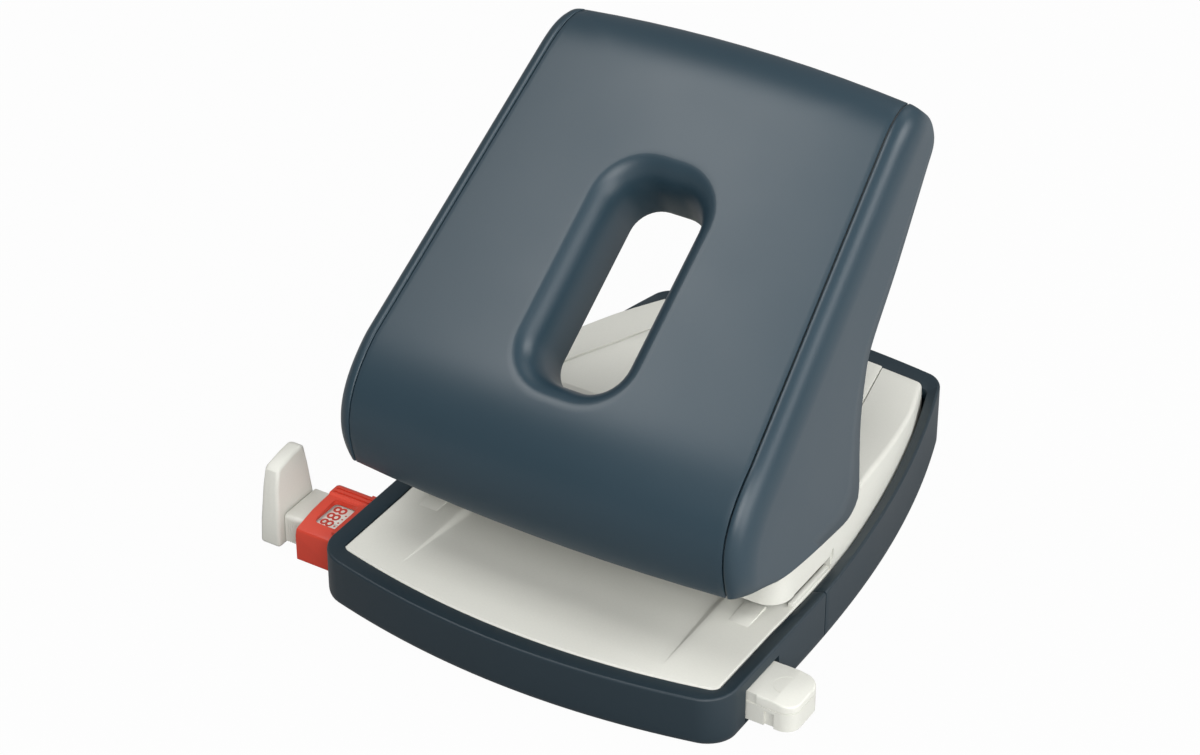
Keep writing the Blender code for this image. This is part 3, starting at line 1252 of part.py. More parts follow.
def format_window():
    """The red body round the bar on the left, with a sight over the strip and a collar in the shell."""
    half = WINDOW_WIDTH / 2
    crown_z = WINDOW_SIDE_Z + WINDOW_CROWN
    section = [(-half, WINDOW_LOW_Z + WINDOW_CROWN / 3), (-half * 0.93, WINDOW_LOW_Z), (half, WINDOW_LOW_Z),
               (half, WINDOW_SIDE_Z), (half * 0.75, crown_z - WINDOW_CROWN * 0.35), (half * 0.20, crown_z),
               (-half * 0.40, crown_z), (-half * 0.72, crown_z - WINDOW_CROWN * 0.25), (-half, WINDOW_SIDE_Z)]
    right = -BASE_HALF_WIDTH - GAP
    left = right - WINDOW_LENGTH
    body = flat("format_window", [section], left, right, "YZ")
    collar_half = BAR_WIDTH / 2 + GAP + COLLAR_SIDE
    collar = box("collar", (right - OVERRUN, -collar_half, FLOOR_TOP_Z + GAP),
                 (right + WALL + GAP, collar_half, BAR_TOP_Z + GAP + COLLAR_SIDE))
    join(body, collar)
    bore_half = BAR_WIDTH / 2 + GAP
    end = right + WALL + OVERRUN
    bore = box("bore", (left - OVERRUN, -bore_half, BAR_BOTTOM_Z - GAP), (end, bore_half, BAR_TOP_Z + GAP))
    floor_way = box("floor_way", (right + GAP, -bore_half, FLOOR_Z), (end, bore_half, BAR_MIDDLE_Z))
    middle = (left + right) / 2
    across, along = WINDOW_SIGHT_LENGTH / 2, WINDOW_SIGHT_WIDTH / 2
    sight = box("sight", (middle - across, WINDOW_SIGHT_Y - along, BAR_MIDDLE_Z),
                (middle + across, WINDOW_SIGHT_Y + along, crown_z + OVERRUN))
    cut(body, bore, floor_way, sight)
    return dress(body, RED_PLASTIC)


def guide_detent():
    """The leaf spring behind the bar, bowed forward to press on it."""
    rest_y = BAR_WIDTH / 2 + GAP + LEAF_BOW
    places = [blend(-1, 1, step / 16) for step in range(17)]
    front = [(place * LEAF_HALF_LENGTH, rest_y - LEAF_BOW * (1 - place ** 2) ** 2) for place in places]
    back = [(across, depth + LEAF_THICKNESS) for across, depth in reversed(front)]
    return dress(flat("guide_detent", [front + back], LEAF_LOW_Z, LEAF_LOW_Z + LEAF_HEIGHT), SPRING_STEEL)


def build():
    """Models the punch, piece by piece, and hangs what moves on its axis."""
    start_scene()
    front_shell()
    tray = chip_tray()
    paper_table()
    base_plate()
    feet = rubber_parts()
    fasteners()
    punch_frame()
    dies_and_bushes()
    pins()
    springs()
    axle()
    mechanism_cover()
    centre_panel()
    lever = [lever_cover(), lever_side(-1), lever_side(1), lever_frame(), press_bar()]
    guide = [guide_bar(), guide_stop(), guide_bar_end(), format_strip()]
    format_window()
    guide_detent()
    carry(lever, "lever_axis", (0, PIVOT_Y, PIVOT_Z))
    carry(guide, "guide_line", (0, 0, BAR_MIDDLE_Z))
    carry([tray, *feet], "tray_line", (0, SPLIT_Y, FLOOR_Z))


build()
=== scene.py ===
"""Looks of a desk punch for two holes, dressed over its CAD frame.

Metres, +Z up, the user stands towards -Y. The origin is on the table under the guide bar, on the
machine's plane of symmetry.
"""

from __future__ import annotations

import logging
from contextlib import contextmanager
from dataclasses import dataclass, field
from enum import Enum
from math import atan2, cos, hypot, pi, radians, sin, tau
from typing import Callable, Iterator, Sequence

import bmesh
import bpy
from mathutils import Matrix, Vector


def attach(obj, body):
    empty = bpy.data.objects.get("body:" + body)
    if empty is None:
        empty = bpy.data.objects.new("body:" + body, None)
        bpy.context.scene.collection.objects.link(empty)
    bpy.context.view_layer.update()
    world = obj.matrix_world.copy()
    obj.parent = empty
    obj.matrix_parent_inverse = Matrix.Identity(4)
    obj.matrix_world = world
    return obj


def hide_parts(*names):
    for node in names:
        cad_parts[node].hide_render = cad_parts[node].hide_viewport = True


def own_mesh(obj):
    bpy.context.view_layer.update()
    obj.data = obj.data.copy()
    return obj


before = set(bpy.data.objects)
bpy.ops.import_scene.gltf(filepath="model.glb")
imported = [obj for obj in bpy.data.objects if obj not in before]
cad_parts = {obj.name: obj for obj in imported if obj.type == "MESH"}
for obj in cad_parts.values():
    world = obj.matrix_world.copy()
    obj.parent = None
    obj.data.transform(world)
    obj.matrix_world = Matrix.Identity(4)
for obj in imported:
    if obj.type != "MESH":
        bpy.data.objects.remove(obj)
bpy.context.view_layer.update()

Point = Sequence[float]
Ring = list[tuple[float, float, float]]
Flat = list[tuple[float, float]]
Object = bpy.types.Object

GAP = 0.0003
OVERRUN = 0.0020

log = logging.getLogger("two_hole_punch")


class Side(Enum):
    """The user's left and right."""

    LEFT = -1
    RIGHT = 1


class Body(Enum):
    """The moving bodies of the frame that new pieces ride on."""

    BASE = "base"
    LEVER = "lever"
    GUIDE = "guide"
    TRAY = "tray"


class Slot(Enum):
    """The record's material slots."""

    DARK_PLASTIC = "dark_plastic"
    DARK_PAINT = "dark_paint"
    LIGHT_PLASTIC = "light_plastic"
    RED_PLASTIC = "red_plastic"
    SPRING_STEEL = "spring_steel"


# Sums


def mix(low: float, high: float, share: float) -> float:
    """A value between two others."""
    return low + (high - low) * share


def clamp(value: float) -> float:
    """A value held between 0 and 1."""
    return min(1.0, max(0.0, value))


def smooth(share: float) -> float:
    """A share that starts and ends gently."""
    share = clamp(share)
    return share * share * (3 - 2 * share)


def spaced(low: float, high: float, steps: int) -> list[float]:
    """Even places from low to high, both ends included."""
    return [mix(low, high, step / steps) for step in range(steps + 1)]


def quarter(radius: float, steps: int) -> Flat:
    """How far a rounded edge has gone in and down at each step, from the wall to the top."""
    turns = spaced(0, pi / 2, steps)
    return [(radius * (1 - cos(turn)), radius * (1 - sin(turn))) for turn in turns]


def bezier(points: Sequence[Point], share: float) -> tuple[float, float]:
    """A point on a flat cubic curve."""
    rest = 1 - share
    weights = (rest ** 3, 3 * rest ** 2 * share, 3 * rest * share ** 2, share ** 3)
    return tuple(sum(weight * point[axis] for weight, point in zip(weights, points)) for axis in (0, 1))


def arc(middle: Point, radius: float, start: float, end: float, steps: int) -> Flat:
    """Points on an arc, with its angles in turns."""
    return [(middle[0] + radius * cos(tau * turn), middle[1] + radius * sin(tau * turn))
            for turn in spaced(start, end, steps)]


def eased(points: Sequence[Point], steps: int) -> Flat:
    """A smooth line through flat points.

    Args:
        points: The places it goes through.
        steps: Places between each two of them.

    Returns:
        The places along the line, the given ones included.
    """
    ends = [points[0], *points, points[-1]]
    line = []
    for before, start, end, after in zip(ends, ends[1:], ends[2:], ends[3:]):
        for step in range(steps):
            share = step / steps
            line.append(tuple(
                0.5 * (2 * b + (c - a) * share + (2 * a - 5 * b + 4 * c - d) * share ** 2
                       + (3 * b - a - 3 * c + d) * share ** 3)
                for a, b, c, d in zip(before, start, end, after)))
    return line + [tuple(points[-1])]


# Modelling by hand


def clear() -> None:
    """Leaves edit mode and deselects everything, the frame's own nodes included."""
    if bpy.context.object and bpy.context.object.mode != "OBJECT":
        bpy.ops.object.mode_set(mode="OBJECT")
    bpy.ops.object.select_all(action="DESELECT")


def take(part: Object) -> Object:
    """Makes one object the only one selected."""
    clear()
    part.select_set(True)
    bpy.context.view_layer.objects.active = part
    return part


@contextmanager
def editing(part: Object, kind: str = "FACE") -> Iterator[None]:
    """Edit mode on one object, with nothing selected.

    Args:
        part: The object to shape.
        kind: What is picked: VERT, EDGE or FACE.
    """
    take(part)
    bpy.ops.object.mode_set(mode="EDIT")
    bpy.ops.mesh.select_mode(type=kind)
    bpy.ops.mesh.select_all(action="DESELECT")
    yield
    bpy.ops.object.mode_set(mode="OBJECT")


def pick_faces(part: Object, test: Callable[[Vector, Vector], bool]) -> int:
    """Selects faces in edit mode.

    Args:
        part: The object in edit mode.
        test: Whether a face with this middle and this normal is picked.

    Returns:
        How many were picked.
    """
    shape = bmesh.from_edit_mesh(part.data)
    count = 0
    for face in shape.faces:
        chosen = test(face.calc_center_median(), face.normal)
        face.select_set(chosen)
        count += chosen
    shape.select_flush_mode()
    bmesh.update_edit_mesh(part.data)
    return count


def pick_edges(part: Object, test: Callable[[Vector, Vector], bool]) -> int:
    """Selects edges in edit mode by their two ends, and says how many were picked."""
    shape = bmesh.from_edit_mesh(part.data)
    count = 0
    for edge in shape.edges:
        chosen = test(edge.verts[0].co, edge.verts[1].co)
        edge.select_set(chosen)
        count += chosen
    shape.select_flush_mode()
    bmesh.update_edit_mesh(part.data)
    return count


def settle(name: str) -> Object:
    """Names the new primitive and puts its place into its mesh."""
    part = bpy.context.object
    part.name = part.data.name = name
    bpy.ops.object.transform_apply(location=True, rotation=True, scale=True)
    return part


def block(name: str, low: Point, high: Point) -> Object:
    """A box from one corner to the other."""
    clear()
    middle = [(first + second) / 2 for first, second in zip(low, high)]
    size = [second - first for first, second in zip(low, high)]
    bpy.ops.mesh.primitive_cube_add(size=1, location=middle, scale=size)
    return settle(name)


def post(name: str, radius: float, start: Point, end: Point, sides: int = 32) -> Object:
    """A round rod from one place to another."""
    clear()
    along = Vector(end) - Vector(start)
    middle = (Vector(end) + Vector(start)) / 2
    turn = along.to_track_quat("Z", "Y").to_euler()
    bpy.ops.mesh.primitive_cylinder_add(vertices=sides, radius=radius, depth=along.length, location=middle,
                                        rotation=turn)
    return settle(name)


def stack(name: str, rings: Sequence[Ring], capped: bool = True) -> Object:
    """A cylinder cut into levels, whose points are then moved onto rings.

    Args:
        name: The new object's name.
        rings: Points round each level, as many on each.
        capped: Whether the first and the last ring are closed.

    Returns:
        The new object, facing outwards where it is closed.
    """
    around, levels = len(rings[0]), len(rings)
    clear()
    bpy.ops.mesh.primitive_cylinder_add(vertices=around, radius=1, depth=1,
                                        end_fill_type="NGON" if capped else "NOTHING")
    part = settle(name)
    with editing(part, "EDGE"):
        if levels > 2:
            pick_edges(part, lambda first, second: abs(first.z - second.z) > 0.5)
            bpy.ops.mesh.subdivide(number_cuts=levels - 2)
        shape = bmesh.from_edit_mesh(part.data)
        for point in shape.verts:
            place = round(atan2(-point.co.x, point.co.y) / tau * around) % around
            level = round((point.co.z + 0.5) * (levels - 1))
            point.co = rings[level][place]
        bmesh.update_edit_mesh(part.data)
        if capped:
            bpy.ops.mesh.select_all(action="SELECT")
            bpy.ops.mesh.normals_make_consistent(inside=False)
    return part


def drape(name: str, columns: int, rows: int, place: Callable[[int, int], Point]) -> Object:
    """A grid whose points are moved onto a surface.

    Args:
        name: The new object's name.
        columns: Steps across.
        rows: Steps along.
        place: The point at a column and a row.

    Returns:
        The new sheet.
    """
    clear()
    bpy.ops.mesh.primitive_grid_add(x_subdivisions=columns, y_subdivisions=rows, size=2)
    part = settle(name)
    for point in part.data.vertices:
        column = round((point.co.x + 1) / 2 * columns)
        row = round((point.co.y + 1) / 2 * rows)
        point.co = place(column, row)
    return part


def plate(name: str, outline: Sequence[Point], low: float, high: float, plane: str = "XY") -> Object:
    """A disc whose rim is moved onto an outline and which is then extruded.

    Args:
        name: The new object's name.
        outline: Flat points, in the plane's two axes.
        low: Where it starts along the third axis.
        high: Where it ends along the third axis.
        plane: XY or YZ, the plane of the outline.

    Returns:
        The new object, facing outwards.
    """
    def lie(point: Point, height: float) -> tuple[float, float, float]:
        return (point[0], point[1], height) if plane == "XY" else (height, point[0], point[1])

    around = len(outline)
    clear()
    bpy.ops.mesh.primitive_circle_add(vertices=around, radius=1, fill_type="NGON")
    part = settle(name)
    for point in part.data.vertices:
        place = round(atan2(-point.co.x, point.co.y) / tau * around) % around
        point.co = lie(outline[place], low)
    with editing(part):
        bpy.ops.mesh.select_all(action="SELECT")
        shift = [second - first for first, second in zip(lie((0, 0), low), lie((0, 0), high))]
        bpy.ops.mesh.extrude_region_move(TRANSFORM_OT_translate={"value": shift})
        bpy.ops.mesh.select_all(action="SELECT")
        bpy.ops.mesh.normals_make_consistent(inside=False)
    return part


def apply_modifier(part: Object, kind: str, **settings: object) -> Object:
    """Adds a modifier with its settings and applies it."""
    take(part)
    modifier = part.modifiers.new(kind.lower(), kind)
    for name, value in settings.items():
        setattr(modifier, name, value)
    bpy.ops.object.modifier_apply(modifier=modifier.name)
    return part


def carve(part: Object, *tools: Object, joining: bool = False) -> Object:
    """Cuts tools out of a part, or joins them to it, and removes them."""
    operation = "UNION" if joining else "DIFFERENCE"
    for tool in tools:
        apply_modifier(part, "BOOLEAN", operation=operation, solver="EXACT", object=tool)
        bpy.data.objects.remove(tool, do_unlink=True)
    return part


def round_edges(part: Object, width: float, steps: int, test: Callable[[Vector, Vector], bool]) -> Object:
    """Bevels the picked edges in edit mode."""
    with editing(part, "EDGE"):
        if pick_edges(part, test):
            bpy.ops.mesh.bevel(offset=width, segments=steps, affect="EDGES", clamp_overlap=True)
    return part


def soften(part: Object, width: float, steps: int = 2, sharper_than: float = 30) -> Object:
    """Bevels every edge that is sharper than an angle."""
    return apply_modifier(part, "BEVEL", width=width, segments=steps, limit_method="ANGLE",
                          angle_limit=radians(sharper_than), harden_normals=False)


def thicken(part: Object, thickness: float) -> Object:
    """Gives a sheet its wall, on the side away from its face."""
    return apply_modifier(part, "SOLIDIFY", thickness=thickness, offset=-1, use_even_offset=True)


def split_at(part: Object, place: Point, normal: Point, keep_far: bool) -> Object:
    """Cuts a part by a plane, closes the cut and keeps one side."""
    with editing(part):
        bpy.ops.mesh.select_all(action="SELECT")
        bpy.ops.mesh.bisect(plane_co=place, plane_no=normal, use_fill=True, clear_inner=keep_far,
                            clear_outer=not keep_far)
    return part


# Finishes


def linear(colour: str, alpha: float = 1.0) -> tuple[float, float, float, float]:
    """An sRGB hex colour as the linear colour that nodes take."""
    shares = [int(colour[place:place + 2], 16) / 255 for place in (1, 3, 5)]
    parts = [share / 12.92 if share <= 0.04045 else ((share + 0.055) / 1.055) ** 2.4 for share in shares]
    return (*parts, alpha)


def add_node(tree: bpy.types.NodeTree, kind: str, inputs: dict | None = None,
             **settings: object) -> bpy.types.Node:
    """Adds a node with its settings and links.

    Args:
        tree: The material's node tree.
        kind: The node's type name, without its prefix.
        inputs: For each socket a value, or a node, or a node and its output's name.
        settings: Attributes of the node.

    Returns:
        The new node.
    """
    node = tree.nodes.new("ShaderNode" + kind)
    for name, value in settings.items():
        setattr(node, name, value)
    for socket, value in (inputs or {}).items():
        if isinstance(value, bpy.types.Node):
            value = (value, 0)
        if isinstance(value, tuple) and isinstance(value[0], bpy.types.Node):
            tree.links.new(value[0].outputs[value[1]], node.inputs[socket])
        else:
            node.inputs[socket].default_value = value
    return node


@dataclass(frozen=True)
class Finish:
    """A plain surface; each kind of finish adds its own pattern.

    Sizes are real ones in millimetres.
    """

    name: str
    colour: str
    roughness: float
    ior: float = 1.5
    metallic: float = 0.0
    grain_mm: float = 0.5
    grain_depth_mm: float = 0.010
    cloud_mm: float = 30.0
    cloud_share: float = 0.03

    def make(self) -> bpy.types.Material:
        """Builds the material once and hands out the same one afterwards."""
        known = bpy.data.materials.get(self.name)
        if known:
            return known
        material = bpy.data.materials.new(self.name)
        material.use_nodes = True
        tree = material.node_tree
        tree.nodes.clear()
        shader = add_node(tree, "BsdfPrincipled", self.constants())
        add_node(tree, "OutputMaterial", {"Surface": (shader, "BSDF")})
        self.pattern(tree, shader)
        material.diffuse_color = linear(self.colour)
        material.roughness = self.roughness
        material.metallic = self.metallic
        return material

    def constants(self) -> dict:
        """The settings that are the same all over the surface."""
        values = {"Base Color": linear(self.colour), "Roughness": self.roughness, "Metallic": self.metallic}
        return values if self.metallic else {**values, "IOR": self.ior}

    def pattern(self, tree: bpy.types.NodeTree, shader: bpy.types.Node) -> None:
        """Adds the surface's fine grain and the faint cloud in its colour and its gloss."""
        place = add_node(tree, "TexCoord")
        cloud = add_node(tree, "TexNoise", {"Vector": (place, "Object"), "Scale": 1000 / self.cloud_mm,
                                            "Detail": 3.0, "Roughness": 0.5})
        shade = add_node(tree, "MapRange", {"Value": (cloud, "Fac"), "From Min": 0.3, "From Max": 0.7,
                                            "To Min": 1 - self.cloud_share, "To Max": 1 + self.cloud_share})
        grain = add_node(tree, "TexNoise", {"Vector": (place, "Object"), "Scale": 1000 / self.grain_mm,
                                            "Detail": 2.0, "Roughness": 0.6})
        speck = add_node(tree, "MapRange", {"Value": (grain, "Fac"), "From Min": 0.3, "From Max": 0.7,
                                            "To Min": 0.985, "To Max": 1.015})
        both = add_node(tree, "Math", {0: shade, 1: speck}, operation="MULTIPLY")
        colour = add_node(tree, "VectorMath", {0: linear(self.colour)[:3], "Scale": both}, operation="SCALE")
        tree.links.new(colour.outputs[0], shader.inputs["Base Color"])
        gloss = add_node(tree, "MapRange", {"Value": (cloud, "Fac"), "From Min": 0.3, "From Max": 0.7,
                                            "To Min": self.roughness - 0.03, "To Max": self.roughness + 0.03})
        tree.links.new(gloss.outputs[0], shader.inputs["Roughness"])
        bump = add_node(tree, "Bump", {"Height": (grain, "Fac"), "Strength": 1.0,
                                       "Distance": self.grain_depth_mm / 1000})
        tree.links.new(bump.outputs[0], shader.inputs["Normal"])


@dataclass(frozen=True)
class MouldedAbs(Finish):
    """ABS from a spark-eroded mould: an even satin that breaks highlights into a soft haze.

    The real grain is about 0.1 mm; it is drawn at 0.45 mm, the finest that the render shows.
    """

    grain_mm: float = 0.45
    grain_depth_mm: float = 0.006


@dataclass(frozen=True)
class StoveEnamel(Finish):
    """Satin lacquer sprayed on pressed steel: a smoother, broader sheen with a faint orange peel."""

    grain_mm: float = 0.6
    grain_depth_mm: float = 0.005
    cloud_mm: float = 45.0


@dataclass(frozen=True)
class PlatedSteel(Finish):
    """Steel with a drawn or ground surface under its plating: fine lines along the working direction."""

    metallic: float = 1.0
    line_mm: float = 0.25
    line_length_mm: float = 12.0

    def pattern(self, tree: bpy.types.NodeTree, shader: bpy.types.Node) -> None:
        """Adds the drawn lines in the gloss and the relief, and the plating's cloudy colour."""
        place = add_node(tree, "TexCoord")
        stretched = add_node(tree, "Mapping", {"Vector": (place, "Object"), "Scale": (
            1000 / self.line_length_mm, 1000 / self.line_mm, 1000 / self.line_mm)})
        lines = add_node(tree, "TexNoise", {"Vector": stretched, "Scale": 1.0, "Detail": 3.0})
        cloud = add_node(tree, "TexNoise", {"Vector": (place, "Object"), "Scale": 1000 / self.cloud_mm,
                                            "Detail": 4.0})
        shade = add_node(tree, "MapRange", {"Value": (cloud, "Fac"), "To Min": 0.9, "To Max": 1.1})
        colour = add_node(tree, "VectorMath", {0: linear(self.colour)[:3], "Scale": shade}, operation="SCALE")
        gloss = add_node(tree, "MapRange", {"Value": (lines, "Fac"), "To Min": self.roughness - 0.08,
                                            "To Max": self.roughness + 0.10})
        bump = add_node(tree, "Bump", {"Height": (lines, "Fac"), "Strength": 1.0, "Distance": 0.00001})
        tree.links.new(colour.outputs[0], shader.inputs["Base Color"])
        tree.links.new(gloss.outputs[0], shader.inputs["Roughness"])
        tree.links.new(bump.outputs[0], shader.inputs["Normal"])


# Stoving enamel on pressed steel: dark slate blue, with one broad soft highlight that follows the rolled edges
LEVER_ENAMEL = StoveEnamel("lever_satin_enamel", "#223641", 0.39, ior=1.5)
# The base's dark ABS is moulded with a fine grain, so it looks darker and flatter than the lever
BASE_ABS = MouldedAbs("base_dark_abs", "#15262f", 0.46, ior=1.5)
# Off-white ABS with a hint of yellow: nearly no highlight, and its form shows by shade alone
LIGHT_ABS = MouldedAbs("off_white_abs", "#d6d6ce", 0.48, cloud_share=0.012)
# Red ABS from a smoother mould, so that its edges catch a thin light line
RED_ABS = MouldedAbs("red_abs", "#cb402d", 0.40)
# Pad-printed ink, dull and flat on the strip
INK = Finish("red_ink", "#b5392b", 0.55)
# Bright zinc on bent sheet steel: pale, with soft cloudy reflections
ZINC = PlatedSteel("zinc_plated_steel", "#b9bcc0", 0.34)
# Hardened steel, ground: darker and sharper reflections with close fine lines
GROUND = PlatedSteel("ground_steel", "#a9abae", 0.26, line_mm=0.15)
# Drawn spring wire, clips and screws: a greyer steel with lines along the wire
SPRING = PlatedSteel("drawn_spring_steel", "#8d8f93", 0.30, line_mm=0.2)
# Moulded nitrile rubber: nearly black and dull
RUBBER = Finish("nitrile_rubber", "#1c1c1e", 0.82, ior=1.52, grain_mm=0.8, grain_depth_mm=0.03)


def dress(part: Object, finish: Finish, smooth_angle: float = 32) -> Object:
    """Gives a new piece its finish and smooth faces, with its crisp edges kept."""
    part.data.materials.clear()
    part.data.materials.append(finish.make())
    take(part)
    bpy.ops.object.shade_smooth_by_angle(angle=radians(smooth_angle))
    return part


def place_piece(part: Object, body: Body, slot: Slot, *nodes: str) -> Object:
    """Puts a finished piece on its body.

    Args:
        part: The finished piece.
        body: What it moves with.
        slot: The record's material slot; not used.
        nodes: The CAD nodes that it stands for.

    Returns:
        The piece.
    """
    clear()
    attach(part, body.value)
    if nodes:
        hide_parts(*nodes)
    log.info("%s: %d faces on %s", part.name, len(part.data.polygons), body.value)
    return part


@dataclass
class BasePlan:
    """The base seen from above, and how high its rim stands."""

    half_width: float = 0.0516
    front_y: float = -0.0238
    front_bow: float = 0.0070
    front_corner: float = 0.0062
    front_corner_share: float = 0.78
    rear_y: float = 0.1123
    rear_bow: float = 0.0026
    rear_corner: float = 0.0032
    rear_corner_share: float = 0.40
    taper_start_y: float = 0.0150
    rear_taper: float = 0.0150
    taper_power: float = 2.35
    rim_front_z: float = 0.0135
    rim_rise: float = 0.0045
    rim_power: float = 1.15
    rim_side_front: float = 0.0038
    rim_side_rear: float = 0.0029
    rim_side_change: float = 0.0350
    rim_front: float = 0.0054
    rim_rear: float = 0.0050
    split_y: float = 0.0280
    table_z: float = 0.0125
    front_steps: int = 14
    corner_steps: int = 9
    side_steps: int = 46
    rear_steps: int = 10

    def width_at(self, depth: float) -> float:
        """Half the base's width at a place along Y."""
        share = (depth - self.taper_start_y) / (self.rear_y - self.taper_start_y)
        return self.half_width - self.rear_taper * max(0.0, share) ** self.taper_power

    def front_at(self, across: float) -> float:
        """Where the base's front edge is at a place along X."""
        return self.front_y + self.front_bow * (across / self.half_width) ** 2

    def rear_at(self, across: float) -> float:
        """Where the base's rear edge is at a place along X."""
        return self.rear_y - self.rear_bow * (across / (self.half_width - self.rear_taper)) ** 2

    def rim_at(self, depth: float) -> float:
        """The height of the rim's outer edge, which rises behind the split."""
        share = max(0.0, (depth - self.split_y) / (self.rear_y - self.split_y))
        return self.rim_front_z + self.rim_rise * share ** self.rim_power

    def rim_side_at(self, depth: float) -> float:
        """The width of the rim's top along the sides."""
        share = clamp((depth - self.split_y) / self.rim_side_change + 0.5)
        return mix(self.rim_side_front, self.rim_side_rear, share)

    def corner(self, before: Point, tip: Point, after: Point) -> Flat:
        """Points that round a corner between two places."""
        inner = [mix(before[axis], tip[axis], 0.5523) for axis in (0, 1)]
        outer = [mix(after[axis], tip[axis], 0.5523) for axis in (0, 1)]
        return [bezier((before, inner, outer, after), step / self.corner_steps)
                for step in range(1, self.corner_steps)]

    def outline(self, side: float | Callable[[float], float], front: float, rear: float) -> Flat:
        """The base's outline drawn in.

        Args:
            side: How far in along the sides, plain or as it follows Y.
            front: How far in at the front.
            rear: How far in at the rear.

        Returns:
            Points from the middle of the front round to the right.
        """
        inset = side if callable(side) else lambda depth: side
        width = lambda depth: self.width_at(depth) - inset(depth)
        front_at = lambda across: self.front_at(across) + front
        rear_at = lambda across: self.rear_at(across) - rear
        front_x = width(front_at(width(front_at(0))))
        rear_x = width(rear_at(width(rear_at(0))))
        front_corner = self.front_corner - front * self.front_corner_share
        rear_corner = self.rear_corner - rear * self.rear_corner_share
        right = [(across, front_at(across)) for across in spaced(0, front_x - front_corner, self.front_steps)]
        start, end = front_at(front_x) + front_corner, rear_at(rear_x) - rear_corner
        side_line = [(width(depth), depth) for depth in spaced(start, end, self.side_steps)]
        back = [(across, rear_at(across)) for across in spaced(rear_x - rear_corner, 0, self.rear_steps)]
        right += self.corner(right[-1], (front_x, front_at(front_x)), side_line[0]) + side_line
        right += self.corner(side_line[-1], (rear_x, rear_at(rear_x)), back[0]) + back
        return right + [(-across, depth) for across, depth in reversed(right[1:-1])]

    def level(self, outline: Sequence[Point], height: float | Callable[[float], float]) -> Ring:
        """An outline's points at a height, plain or as it follows Y."""
        at = height if callable(height) else lambda depth: height
        return [(across, depth, at(depth)) for across, depth in outline]


